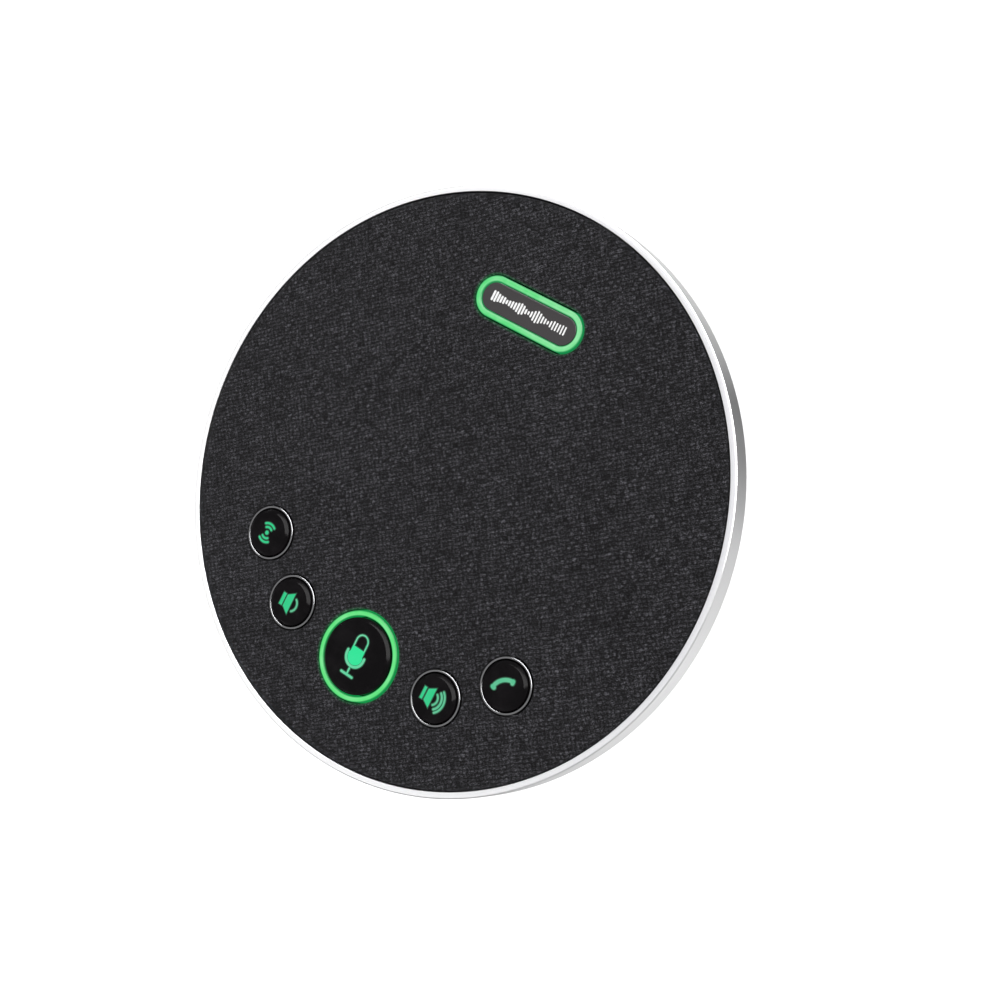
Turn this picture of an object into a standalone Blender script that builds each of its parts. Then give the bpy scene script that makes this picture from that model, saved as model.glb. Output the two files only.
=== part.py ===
"""Conference speakerphone: a round puck with a fabric top, five keys, a lit badge and rear ports.

+Z is up and the origin is on the table under the centre. The keys are towards -Y, and the badge and
the ports are towards +Y. Lengths are in metres, written as a number of MM.
"""

import math

import bmesh
import bpy

MM = 0.001
GAP = 0.3 * MM  # clearance between neighbouring pieces

# Housing
OUTER_RADIUS = 64.0 * MM
FABRIC_TOP = 33.2 * MM
RIM_HEIGHT = 5.5 * MM  # side band of the trim ring, below the fabric's plane
RIM_WIDTH = 1.43 * MM
RIM_PROUD = 0.15 * MM
RIM_EDGE = 0.25 * MM
FABRIC_THICKNESS = 0.7 * MM
DECK_THICKNESS = 1.8 * MM
SHELL_WALL = 1.8 * MM
SHELL_RADIUS = 63.4 * MM  # base shell where it meets the trim ring
FLOOR_RADIUS = 48.0 * MM  # base shell where it turns into the flat floor
FOOT_HEIGHT = 1.7 * MM
FOOT_RADII = (34.0 * MM, 45.5 * MM)

RIM_BOTTOM = FABRIC_TOP - RIM_HEIGHT
RIM_INNER = OUTER_RADIUS - RIM_WIDTH
DECK_RADIUS = RIM_INNER - GAP
DECK_TOP = FABRIC_TOP - FABRIC_THICKNESS - GAP
DECK_BOTTOM = DECK_TOP - DECK_THICKNESS
SHELL_TOP = RIM_BOTTOM - GAP
SHELL_BOTTOM = FOOT_HEIGHT + GAP
FLOOR_TOP = SHELL_BOTTOM + SHELL_WALL
SPIGOT_TOP = DECK_BOTTOM - GAP
SPIGOT_WALL = 1.4 * MM

# Posts: four join the deck to the base shell, the rest only carry the boards
SCREW_PLACES = [(40.0 * MM, angle) for angle in (-15, 55, 125, 195)]
KEY_BOARD_POSTS = [(37.0 * MM, angle) for angle in (-106, -74)]
MAIN_BOARD_POSTS = [(45.5 * MM, 25), (45.5 * MM, 155), (22.0 * MM, 90)]
POST_JOINT = 20.0 * MM
POST_RADIUS = 3.4 * MM
DECK_POST_RADIUS = 2.8 * MM
BOARD_POST_RADIUS = 2.0 * MM
SCREW_RADIUS = 1.25 * MM
SCREW_HEAD_RADIUS = 2.5 * MM
SCREW_HEAD_HEIGHT = 2.0 * MM
SCREW_SEAT = 5.8 * MM
SCREW_TIP = 27.0 * MM
RECESS_RADIUS = 1.1 * MM
RECESS_DEPTH = 1.1 * MM

# Keys
KEY_PROUD = 1.0 * MM
KEY_TRAVEL = 0.6 * MM
KEY_BEVEL = 0.65 * MM
KEY_CIRCLE = 43.7 * MM
MUTE_CIRCLE = 40.3 * MM
KEYS = {"pairing": -49.8, "volume_down": -28.1, "volume_up": 28.1, "call": 49.8}
BEZEL_RADII = (5.4 * MM, 5.88 * MM)
MUTE_RING_RADII = (8.5 * MM, 9.65 * MM)
BEZEL_PROUD = 0.2 * MM
BEZEL_LIP = 1.25 * MM  # how far a bezel's flange reaches out under the deck
LIP_THICKNESS = 0.8 * MM
KEY_FLANGE = 1.1 * MM
STEM_RADIUS = 1.6 * MM
STEM_LENGTH = 1.6 * MM
SWITCH_SIZE = 5.0 * MM
SWITCH_HEIGHT = 2.2 * MM
SWITCH_BORE_DEPTH = 1.5 * MM
BOARD_THICKNESS = 1.0 * MM

KEY_TOP = FABRIC_TOP + KEY_PROUD
BEZEL_BOTTOM = DECK_BOTTOM - GAP - LIP_THICKNESS
FLANGE_TOP = BEZEL_BOTTOM - GAP
FLANGE_BOTTOM = FLANGE_TOP - LIP_THICKNESS
STEM_BOTTOM = FLANGE_BOTTOM - STEM_LENGTH
SWITCH_TOP = FLANGE_BOTTOM - KEY_TRAVEL - 0.4 * MM
KEY_BOARD_TOP = SWITCH_TOP - SWITCH_HEIGHT - GAP

# Badge
BADGE_Y = 39.9 * MM
BADGE_SIZE = (26.6 * MM, 8.95 * MM)
BADGE_RING_WIDTH = 1.35 * MM
BADGE_RING_DEPTH = 3.8 * MM
BADGE_LENS_THICKNESS = 2.0 * MM

# Speaker, from the foam gasket under the deck down to the yoke
SPEAKER_RADIUS = 26.0 * MM
FLANGE_WIDTH = 3.4 * MM
GASKET_THICKNESS = 0.6 * MM
BASKET_TOP = DECK_BOTTOM - GASKET_THICKNESS - 2 * GAP
BASKET_BOTTOM = 19.3 * MM
SURROUND_RADIUS = 20.6 * MM
SURROUND_ROLL = 1.6 * MM
SURROUND_SKIN = 0.5 * MM
COIL_RADII = (5.6 * MM, 6.35 * MM)
POLE_RADIUS = 5.1 * MM
MAGNET_RADIUS = 14.0 * MM
YOKE_BOTTOM = 10.3 * MM
YOKE_PLATE = 1.7 * MM
TOP_PLATE = 1.6 * MM

# Boards, battery and ports
MAIN_BOARD_TOP = 12.4 * MM
MAIN_BOARD_THICKNESS = 1.4 * MM
BATTERY_SIZE = (48.0 * MM, 34.0 * MM, 5.6 * MM)
MIC_CIRCLE = 55.5 * MM
MIC_ANGLES = (45, 135, 225, 315)
PORT_Z = 15.5 * MM
PORT_FACE = 47.0 * MM  # y of the recessed face that the ports open in
PORT_BACK = 45.0 * MM
PORT_WINDOW = (41.0 * MM, 12.2 * MM)
PORT_POCKET = (37.0 * MM, 8.8 * MM)
PORT_CORNER = 3.0 * MM
USB_X = 11.0 * MM
JACK_X = 0.0
POWER_X = -12.0 * MM
USB_SIZE = (8.94 * MM, 3.26 * MM)
JACK_BORE = 1.8 * MM
POWER_RADIUS = 2.3 * MM
POWER_PROUD = 0.8 * MM

COLOURS = {  # base colour, roughness, metallic
    "satin_aluminium": ((0.80, 0.80, 0.81), 0.32, 1.0),
    "grey_shell": ((0.30, 0.31, 0.33), 0.45, 0.0),
    "dark_rubber": ((0.02, 0.02, 0.022), 0.8, 0.0),
    "black_plastic": ((0.02, 0.02, 0.022), 0.5, 0.0),
    "grey_fabric": ((0.032, 0.032, 0.036), 0.95, 0.0),
    "gloss_black": ((0.006, 0.006, 0.007), 0.12, 0.0),
    "chrome": ((0.86, 0.86, 0.87), 0.12, 1.0),
    "green_light": ((0.12, 0.75, 0.28), 0.4, 0.0),
    "smoked_window": ((0.03, 0.03, 0.033), 0.35, 0.0),
    "board_green": ((0.02, 0.12, 0.06), 0.5, 0.0),
    "steel": ((0.55, 0.55, 0.56), 0.35, 1.0),
    "ferrite": ((0.05, 0.05, 0.052), 0.6, 0.0),
    "cone_paper": ((0.04, 0.04, 0.042), 0.9, 0.0),
    "copper_coil": ((0.72, 0.35, 0.18), 0.35, 1.0),
    "battery_wrap": ((0.45, 0.47, 0.50), 0.4, 0.0),
    "flex_amber": ((0.55, 0.28, 0.05), 0.4, 0.0),
    "red_wire": ((0.50, 0.02, 0.02), 0.5, 0.0),
    "black_wire": ((0.015, 0.015, 0.015), 0.5, 0.0),
    "foam": ((0.06, 0.06, 0.065), 0.95, 0.0),
    "switch_plastic": ((0.08, 0.08, 0.085), 0.5, 0.0),
}


# ---- scene and building tools ----


def clear_scene():
    for obj in list(bpy.data.objects):
        bpy.data.objects.remove(obj, do_unlink=True)


def new_collection(name):
    collection = bpy.data.collections.new(name)
    bpy.context.scene.collection.children.link(collection)
    return collection


def new_material(name):
    colour, roughness, metallic = COLOURS[name]
    material = bpy.data.materials.new(name)
    material.use_nodes = True
    shader = material.node_tree.nodes["Principled BSDF"]
    shader.inputs["Base Color"].default_value = (*colour, 1.0)
    shader.inputs["Roughness"].default_value = roughness
    shader.inputs["Metallic"].default_value = metallic
    return material


clear_scene()
PARTS = new_collection("conference_speakerphone")
CUTTERS = new_collection("cutters")


def add_object(name, data, look):
    """An object in the parts' collection, with a material of its own, or a cutter when look is None."""
    obj = bpy.data.objects.new(name, data)
    if look is None:
        obj.hide_render = True
        obj.display_type = "WIRE"
        CUTTERS.objects.link(obj)
        return obj
    data.materials.append(new_material(look))
    data.materials[0].name = f"{name}_{look}"
    PARTS.objects.link(obj)
    return obj


def as_mesh(obj):
    """Replaces a curve object by a welded mesh object, which can be cut or joined."""
    bpy.context.view_layer.update()
    evaluated = obj.evaluated_get(bpy.context.evaluated_depsgraph_get())
    mesh = bpy.data.meshes.new_from_object(evaluated)
    shape = bmesh.new()
    shape.from_mesh(mesh)
    bmesh.ops.remove_doubles(shape, verts=shape.verts, dist=0.001 * MM)
    shape.to_mesh(mesh)
    shape.free()
    solid = bpy.data.objects.new(obj.name, mesh)
    solid.matrix_world = obj.matrix_world
    solid.hide_render = obj.hide_render
    solid.display_type = obj.display_type
    obj.users_collection[0].objects.link(solid)
    name = obj.name
    bpy.data.objects.remove(obj)
    solid.name = name
    return solid


def turned(name, profile, look, steps=32, place=(0.0, 0.0, 0.0), facing_rear=False):
    """A turned solid: (radius, height) points that run down the outer side, closed where it is a ring."""
    mesh = bpy.data.meshes.new(name)
    shape = bmesh.new()
    points = [shape.verts.new((radius, 0.0, height)) for radius, height in profile]
    ring = profile[0][0] > 0
    for start, end in zip(points, points[1:] + (points[:1] if ring else [])):
        shape.edges.new((start, end))
    shape.to_mesh(mesh)
    shape.free()
    obj = add_object(name, mesh, look)
    obj.location = place
    if facing_rear:
        obj.rotation_euler.x = math.radians(-90)
    screw = obj.modifiers.new("Turn", "SCREW")
    screw.steps = steps
    screw.render_steps = steps
    screw.use_merge_vertices = True
    screw.merge_threshold = 0.001 * MM
    screw.use_smooth_shade = True
    return obj


def slab(name, outlines, low, high, look, upright=False):
    """A flat plate between low and high: the first outline is its edge and the others are holes.

    A flat slab's outline is in x and y, and an upright one's is in x and z.
    """
    curve = bpy.data.curves.new(name, "CURVE")
    curve.dimensions = "2D"
    curve.fill_mode = "BOTH"
    curve.extrude = (high - low) / 2
    for outline in outlines:
        spline = curve.splines.new("POLY")
        spline.points.add(len(outline) - 1)
        for point, (across, along) in zip(spline.points, outline):
            point.co = (across, along, 0.0, 1.0)
        spline.use_cyclic_u = True
    obj = add_object(name, curve, look)
    obj.location["xyz".index("y" if upright else "z")] = (low + high) / 2
    if upright:
        obj.rotation_euler.x = math.radians(90)
    return as_mesh(obj)


def block(name, low, high, look, bevel=0.0):
    """A box between two corners, with its edges rounded by bevel."""
    mesh = bpy.data.meshes.new(name)
    shape = bmesh.new()
    bmesh.ops.create_cube(shape, size=1.0)
    bmesh.ops.scale(shape, vec=[b - a for a, b in zip(low, high)], verts=shape.verts)
    shape.to_mesh(mesh)
    shape.free()
    obj = add_object(name, mesh, look)
    obj.location = [(a + b) / 2 for a, b in zip(low, high)]
    if bevel:
        edges = obj.modifiers.new("Edges", "BEVEL")
        edges.width = bevel
        edges.segments = 2
    return obj


def pegs(name, places, radius, low, high, steps=12, look=None):
    """Upright cylinders at several places, usually one cutter."""
    mesh = bpy.data.meshes.new(name)
    shape = bmesh.new()
    for x, y in places:
        cylinder = bmesh.ops.create_cone(
            shape, cap_ends=True, segments=steps, radius1=radius, radius2=radius, depth=high - low
        )
        bmesh.ops.translate(shape, vec=(x, y, (low + high) / 2), verts=cylinder["verts"])
    shape.to_mesh(mesh)
    shape.free()
    return add_object(name, mesh, look)


def wire(name, route, radius, look):
    curve = bpy.data.curves.new(name, "CURVE")
    curve.dimensions = "3D"
    curve.bevel_depth = radius
    curve.bevel_resolution = 2
    curve.use_fill_caps = True
    spline = curve.splines.new("POLY")
    spline.points.add(len(route) - 1)
    for point, place in zip(spline.points, route):
        point.co = (*place, 1.0)
    return add_object(name, curve, look)


def combine(obj, other, operation="DIFFERENCE"):
    step = obj.modifiers.new(other.name, "BOOLEAN")
    step.operation = operation
    step.object = other
    return obj


# ---- outlines ----


def polar(radius, degrees):
    angle = math.radians(degrees)
    return radius * math.cos(angle), radius * math.sin(angle)


def arc(radius, start, end, steps, centre=(0.0, 0.0)):
    """Points along an arc about centre, both ends included, with its angles in degrees."""
    points = []
    for i in range(steps + 1):
        x, y = polar(radius, start + (end - start) * i / steps)
        points.append((centre[0] + x, centre[1] + y))
    return points


def circle(radius, steps=24, centre=(0.0, 0.0)):
    return arc(radius, 0, 360, steps, centre)[:-1]


def rounded(size, corner, steps=4, centre=(0.0, 0.0)):
    """A rectangle with round corners: a stadium when corner is half its height."""
    half_x = size[0] / 2 - corner
    half_y = size[1] / 2 - corner
    points = []
    for start, side_x, side_y in ((0, 1, 1), (90, -1, 1), (180, -1, -1), (270, 1, -1)):
        middle = (centre[0] + side_x * half_x, centre[1] + side_y * half_y)
        for point in arc(corner, start, start + 90, steps, middle):
            if not points or math.dist(point, points[-1]) > 0.01 * MM:
                points.append(point)
    return points


def grown(size, margin):
    return size[0] + 2 * margin, size[1] + 2 * margin


def stadium(size, margin=0.0, steps=6, centre=(0.0, 0.0)):
    grown_size = grown(size, margin)
    return rounded(grown_size, grown_size[1] / 2, steps, centre)


def key_place(name):
    """A key's centre: its angle is measured from straight ahead, -Y, and grows towards +X."""
    if name == "mute":
        return polar(MUTE_CIRCLE, -90)
    return polar(KEY_CIRCLE, -90 + KEYS[name])


def post_places(posts):
    return [polar(radius, angle) for radius, angle in posts]


# ---- housing ----


def shell_radius(z):
    """Outer radius of the base shell, which draws in towards its floor."""
    depth = (SHELL_TOP - z) / (SHELL_TOP - SHELL_BOTTOM)
    return FLOOR_RADIUS + (SHELL_RADIUS - FLOOR_RADIUS) * (1 - depth**1.5)


def shell_side(steps):
    """Points down the base shell's outer side, ending in the round edge of its floor."""
    edge = 1.2 * MM
    heights = [SHELL_TOP + (SHELL_BOTTOM + edge - SHELL_TOP) * i / steps for i in range(steps + 1)]
    return [(shell_radius(z), z) for z in heights] + [(FLOOR_RADIUS - edge, SHELL_BOTTOM)]


def base_shell():
    """The bowl: floor, side, the spigot that the trim ring sits round, and the screw posts."""
    inner_heights = [FLOOR_TOP + (SHELL_TOP - FLOOR_TOP) * i / 3 for i in range(1, 4)]
    inside = [(0.0, FLOOR_TOP), (FLOOR_RADIUS - 3 * MM, FLOOR_TOP)]
    inside += [(shell_radius(z) - 2 * MM - 0.5 * MM * (z == SHELL_TOP), z) for z in inner_heights]
    spigot = [(DECK_RADIUS - SPIGOT_WALL, SPIGOT_TOP), (DECK_RADIUS, SPIGOT_TOP)]
    spigot.append((DECK_RADIUS, SHELL_TOP))
    profile = inside + spigot + shell_side(5) + [(0.0, SHELL_BOTTOM)]
    shell = turned("base_shell", profile, "grey_shell", 48)

    foot = FLOOR_TOP - 0.9 * MM
    screws = post_places(SCREW_PLACES)
    tall = pegs("screw_post_solids", screws, POST_RADIUS, foot, POST_JOINT)
    key_top = KEY_BOARD_TOP - BOARD_THICKNESS - GAP
    key = pegs("key_board_posts", post_places(KEY_BOARD_POSTS), BOARD_POST_RADIUS, foot, key_top)
    low_top = MAIN_BOARD_TOP - MAIN_BOARD_THICKNESS - GAP
    low = pegs("main_board_posts", post_places(MAIN_BOARD_POSTS), BOARD_POST_RADIUS, foot, low_top)
    for posts in (tall, key, low):
        combine(shell, posts, "UNION")
    below = SHELL_BOTTOM - 1 * MM
    combine(shell, pegs("screw_bores", screws, SCREW_RADIUS + GAP, below, POST_JOINT + 1 * MM))
    combine(shell, pegs("screw_head_bores", screws, SCREW_HEAD_RADIUS + GAP, below, SCREW_SEAT))
    window = rounded(PORT_WINDOW, PORT_CORNER, centre=(0.0, PORT_Z))
    combine(shell, slab("port_window", [window], 40 * MM, 70 * MM, None, upright=True))
    return shell


def base_screws():
    head_bottom = SCREW_SEAT - GAP - SCREW_HEAD_HEIGHT
    profile = [
        (0.0, SCREW_TIP),
        (SCREW_RADIUS * 0.5, SCREW_TIP),
        (SCREW_RADIUS, SCREW_TIP - 1.2 * MM),
        (SCREW_RADIUS, SCREW_SEAT - GAP),
        (SCREW_HEAD_RADIUS, SCREW_SEAT - GAP),
        (SCREW_HEAD_RADIUS, head_bottom + 0.6 * MM),
        (SCREW_HEAD_RADIUS - 0.6 * MM, head_bottom),
        (0.0, head_bottom),
    ]
    for number, (x, y) in enumerate(post_places(SCREW_PLACES), start=1):
        screw = turned(f"base_screw_{number}", profile, "steel", 12, (x, y, 0.0))
        low = head_bottom - 1 * MM
        high = head_bottom + RECESS_DEPTH
        combine(screw, pegs(f"screw_recess_{number}", [(x, y)], RECESS_RADIUS, low, high, 6))


def rim_ring():
    top = FABRIC_TOP + RIM_PROUD
    profile = [
        (OUTER_RADIUS - RIM_EDGE, top),
        (OUTER_RADIUS, top - RIM_EDGE),
        (OUTER_RADIUS, RIM_BOTTOM + RIM_EDGE),
        (OUTER_RADIUS - RIM_EDGE, RIM_BOTTOM),
        (RIM_INNER, RIM_BOTTOM),
        (RIM_INNER, top),
    ]
    turned("rim_ring", profile, "satin_aluminium", 72)


def foot_ring():
    inner, outer = FOOT_RADII
    edge = 0.5 * MM
    profile = [
        (outer, FOOT_HEIGHT),
        (outer, edge),
        (outer - edge, 0.0),
        (inner + edge, 0.0),
        (inner, edge),
        (inner, FOOT_HEIGHT),
    ]
    turned("foot_ring", profile, "dark_rubber", 48)


def top_openings():
    """The outlines that the deck and the fabric share: four bezels, the mute ring and the badge."""
    holes = [circle(BEZEL_RADII[1] + GAP, 20, key_place(name)) for name in KEYS]
    holes.append(circle(MUTE_RING_RADII[1] + GAP, 28, key_place("mute")))
    holes.append(stadium(BADGE_SIZE, GAP, centre=(0.0, BADGE_Y)))
    return holes


def top_deck():
    """The stiff plate under the fabric: sound holes over the speaker, a pinhole over each microphone."""
    sound_hole = 2.4 * MM
    pitch = 8.4 * MM
    holes = [circle(sound_hole, 8)]
    for ring in (1, 2):
        count = 6 * ring
        holes += [circle(sound_hole, 8, polar(ring * pitch, 360 * i / count)) for i in range(count)]
    holes += [circle(0.9 * MM, 6, polar(MIC_CIRCLE, angle)) for angle in MIC_ANGLES]
    outlines = [circle(DECK_RADIUS, 48)] + top_openings() + holes
    deck = slab("top_deck", outlines, DECK_BOTTOM, DECK_TOP, "black_plastic")
    screws = post_places(SCREW_PLACES)
    foot = POST_JOINT + GAP
    combine(deck, pegs("deck_posts", screws, DECK_POST_RADIUS, foot, DECK_BOTTOM + 0.9 * MM), "UNION")
    combine(deck, pegs("deck_post_bores", screws, SCREW_RADIUS + GAP, foot - 1 * MM, SCREW_TIP + 1 * MM))


def fabric_cover():
    outlines = [circle(DECK_RADIUS, 72)] + top_openings()
    slab("fabric_cover", outlines, FABRIC_TOP - FABRIC_THICKNESS, FABRIC_TOP, "grey_fabric")


# ---- keys ----


def bezel(name, radii, place, look, steps):
    """A ring through the deck and the fabric, with a flange that holds it under the deck."""
    inner, outer = radii
    top = FABRIC_TOP + BEZEL_PROUD
    edge = 0.15 * MM
    lip_top = DECK_BOTTOM - GAP
    profile = [
        (outer - edge, top),
        (outer, top - edge),
        (outer, lip_top),
        (outer + BEZEL_LIP, lip_top),
        (outer + BEZEL_LIP, BEZEL_BOTTOM),
        (inner, BEZEL_BOTTOM),
        (inner, top - edge),
        (inner + edge, top),
    ]
    turned(name, profile, look, steps, (*place, 0.0))


def key_cap(name, radius, place, steps):
    """A cap with a bevelled edge, the flange that stops it under its bezel, and a stem."""
    profile = [
        (0.0, KEY_TOP),
        (radius - KEY_BEVEL, KEY_TOP),
        (radius, KEY_TOP - KEY_BEVEL),
        (radius, FLANGE_TOP),
        (radius + KEY_FLANGE, FLANGE_TOP),
        (radius + KEY_FLANGE, FLANGE_BOTTOM),
        (STEM_RADIUS, FLANGE_BOTTOM),
        (STEM_RADIUS, STEM_BOTTOM),
        (0.0, STEM_BOTTOM),
    ]
    turned(name, profile, "gloss_black", steps, (*place, 0.0))


def key_switch(name, place):
    """A switch on the key board, with the bore that the key's stem goes down."""
    x, y = place
    half = SWITCH_SIZE / 2
    low = (x - half, y - half, SWITCH_TOP - SWITCH_HEIGHT)
    switch = block(name, low, (x + half, y + half, SWITCH_TOP), "switch_plastic")
    bore_bottom = SWITCH_TOP - SWITCH_BORE_DEPTH
    combine(switch, pegs(f"{name}_bore", [place], STEM_RADIUS + GAP, bore_bottom, SWITCH_TOP + 1 * MM))


def keys():
    for name in KEYS:
        place = key_place(name)
        bezel(f"{name}_bezel", BEZEL_RADII, place, "chrome", 20)
        key_cap(f"{name}_key", BEZEL_RADII[0] - GAP, place, 20)
        key_switch(f"{name}_switch", place)
    place = key_place("mute")
    bezel("mute_light_ring", MUTE_RING_RADII, place, "green_light", 28)
    key_cap("mute_key", MUTE_RING_RADII[0] - GAP, place, 28)
    key_switch("mute_switch", place)


def key_board():
    """A curved board under the keys, and the flex cable that joins it to the main board."""
    half_angle = 64
    outline = arc(52 * MM, -90 - half_angle, -90 + half_angle, 24)
    outline += arc(33 * MM, -90 + half_angle, -90 - half_angle, 16)
    slab("key_board", [outline], KEY_BOARD_TOP - BOARD_THICKNESS, KEY_BOARD_TOP, "board_green")

    start = KEY_BOARD_TOP + 2 * GAP
    end = MAIN_BOARD_TOP + 2 * GAP
    route = [(-24 * MM, start), (-14 * MM, start), (-9 * MM, start - 2 * MM), (-5 * MM, start - 6 * MM)]
    route += [(-2 * MM, end + 2 * MM), (3 * MM, end), (10 * MM, end)]
    mesh = bpy.data.meshes.new("key_flex_cable")
    shape = bmesh.new()
    points = [shape.verts.new((-31.5 * MM, y, z)) for y, z in route]
    edges = [shape.edges.new(pair) for pair in zip(points, points[1:])]
    strip = bmesh.ops.extrude_edge_only(shape, edges=edges)["geom"]
    far_side = [item for item in strip if isinstance(item, bmesh.types.BMVert)]
    bmesh.ops.translate(shape, vec=(5 * MM, 0.0, 0.0), verts=far_side)
    shape.to_mesh(mesh)
    shape.free()
    flex = add_object("key_flex_cable", mesh, "flex_amber")
    thickness = flex.modifiers.new("Thickness", "SOLIDIFY")
    thickness.thickness = 0.25 * MM
    thickness.offset = 0.0


# ---- badge ----


def badge():
    centre = (0.0, BADGE_Y)
    ring_top = FABRIC_TOP + RIM_PROUD
    ring = [stadium(BADGE_SIZE, centre=centre), stadium(BADGE_SIZE, -BADGE_RING_WIDTH, centre=centre)]
    slab("badge_light_ring", ring, ring_top - BADGE_RING_DEPTH, ring_top, "green_light")
    window = [stadium(BADGE_SIZE, -BADGE_RING_WIDTH - GAP, centre=centre)]
    slab("badge_window", window, FABRIC_TOP - BADGE_LENS_THICKNESS, FABRIC_TOP, "smoked_window")
    board_top = ring_top - BADGE_RING_DEPTH - GAP
    board = [rounded(BADGE_SIZE, 1 * MM, centre=centre)]
    slab("badge_light_board", board, board_top - BOARD_THICKNESS, board_top, "board_green")


# ---- speaker ----


def speaker_frame():
    inner = SPEAKER_RADIUS - FLANGE_WIDTH
    gasket_low = BASKET_TOP + GAP
    gasket = [
        (SPEAKER_RADIUS, gasket_low + GASKET_THICKNESS),
        (SPEAKER_RADIUS, gasket_low),
        (inner, gasket_low),
        (inner, gasket_low + GASKET_THICKNESS),
    ]
    turned("speaker_gasket", gasket, "foam", 28)
    flange = 0.9 * MM
    foot = MAGNET_RADIUS + 0.6 * MM
    basket = [
        (SPEAKER_RADIUS, BASKET_TOP),
        (SPEAKER_RADIUS, BASKET_TOP - flange),
        (inner + 1.0 * MM, BASKET_TOP - flange),
        (foot, BASKET_BOTTOM),
        (8.0 * MM, BASKET_BOTTOM),
        (8.0 * MM, BASKET_BOTTOM + 0.8 * MM),
        (foot - 0.6 * MM, BASKET_BOTTOM + 0.8 * MM),
        (inner, BASKET_TOP - flange + 0.2 * MM),
        (inner, BASKET_TOP),
    ]
    frame = turned("speaker_basket", basket, "steel", 28)
    vent = 9.0 * MM
    vent_low = BASKET_BOTTOM + 1.6 * MM
    vent_high = BASKET_TOP - 2.2 * MM
    reach = (-30 * MM, 30 * MM)
    vents = {
        "basket_vents_x": ((reach[0], -vent / 2, vent_low), (reach[1], vent / 2, vent_high)),
        "basket_vents_y": ((-vent / 2, reach[0], vent_low), (vent / 2, reach[1], vent_high)),
    }
    for name, (low, high) in vents.items():
        combine(frame, block(name, low, high, None))

    roll_z = BASKET_TOP - 0.7 * MM
    centre = (SURROUND_RADIUS, roll_z)
    roll = arc(SURROUND_ROLL, 180, 0, 6, centre) + arc(SURROUND_ROLL - SURROUND_SKIN, 0, 180, 6, centre)
    turned("speaker_surround", roll, "dark_rubber", 28)
    return roll_z


def speaker_diaphragm(edge_z):
    """The moving piece: cone, dust cap and voice coil, clear of the surround by the gap."""
    edge = SURROUND_RADIUS - SURROUND_ROLL - GAP
    neck = COIL_RADII[1] + 0.65 * MM
    neck_z = edge_z - 5.4 * MM
    paper = 0.6 * MM
    cone = [
        (edge, edge_z),
        (edge, edge_z - paper),
        (neck, neck_z - paper),
        (neck, neck_z),
        (edge - 1 * MM, edge_z),
    ]
    turned("speaker_cone", cone, "cone_paper", 24)
    cap = neck - GAP
    low = neck_z + 0.5 * MM
    dome = [(0.0, low + 2.1 * MM), (cap * 0.5, low + 1.7 * MM), (cap, low + 0.5 * MM), (cap, low)]
    dome += [(cap * 0.5, low + 1.2 * MM), (0.0, low + 1.6 * MM)]
    turned("speaker_dust_cap", dome, "cone_paper", 24)
    coil_top = low - GAP
    coil_low = YOKE_BOTTOM + YOKE_PLATE + 2.6 * MM
    inner, outer = COIL_RADII
    coil = [(outer, coil_top), (outer, coil_low), (inner, coil_low), (inner, coil_top)]
    turned("speaker_voice_coil", coil, "copper_coil", 20)


def speaker_motor():
    plate_high = BASKET_BOTTOM - GAP
    plate_low = plate_high - TOP_PLATE
    bore = COIL_RADII[1] + 0.55 * MM
    plate = [(MAGNET_RADIUS, plate_high), (MAGNET_RADIUS, plate_low), (bore, plate_low), (bore, plate_high)]
    turned("speaker_top_plate", plate, "steel", 24)
    yoke_top = YOKE_BOTTOM + YOKE_PLATE
    high = plate_low - GAP
    low = yoke_top + GAP
    bore += 1.6 * MM
    magnet = [(MAGNET_RADIUS, high), (MAGNET_RADIUS, low), (bore, low), (bore, high)]
    turned("speaker_magnet", magnet, "ferrite", 24)
    yoke = [
        (0.0, plate_high),
        (POLE_RADIUS, plate_high),
        (POLE_RADIUS, yoke_top),
        (MAGNET_RADIUS, yoke_top),
        (MAGNET_RADIUS, YOKE_BOTTOM),
        (0.0, YOKE_BOTTOM),
    ]
    turned("speaker_yoke", yoke, "steel", 24)


def speaker():
    edge_z = speaker_frame()
    speaker_diaphragm(edge_z)
    speaker_motor()
    for name, x, look in (("speaker_lead_red", 2, "red_wire"), ("speaker_lead_black", -2, "black_wire")):
        route = [(19.2, 22.6), (22.0, 21.6), (24.0, 18.5), (25.0, 15.5), (25.6, 13.4)]
        wire(name, [(x * MM, y * MM, z * MM) for y, z in route], 0.5 * MM, look)


# ---- boards, battery and microphones ----


def main_board():
    """A half-moon board behind the speaker, with holes round the rear screw posts."""
    front = 6.0 * MM
    back = PORT_BACK - 2 * GAP
    outer = 50.0 * MM
    inner = 17.5 * MM
    start = math.degrees(math.asin(front / outer))
    corner = math.degrees(math.asin(back / outer))
    mouth = math.degrees(math.asin(front / inner))
    outline = arc(outer, start, corner, 8) + arc(outer, 180 - corner, 180 - start, 8)
    outline += arc(inner, 180 - mouth, mouth, 16)
    rear_posts = [place for place in post_places(SCREW_PLACES) if place[1] > 0]
    holes = [circle(POST_RADIUS + GAP, 16, place) for place in rear_posts]
    bottom = MAIN_BOARD_TOP - MAIN_BOARD_THICKNESS
    slab("main_board", [outline] + holes, bottom, MAIN_BOARD_TOP, "board_green")


def on_board(name, centre, size, look, bevel=0.0):
    """A block that sits on the main board."""
    x, y = centre
    low = (x - size[0] / 2, y - size[1] / 2, MAIN_BOARD_TOP + GAP)
    high = (x + size[0] / 2, y + size[1] / 2, MAIN_BOARD_TOP + GAP + size[2])
    return block(name, low, high, look, bevel)


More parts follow.
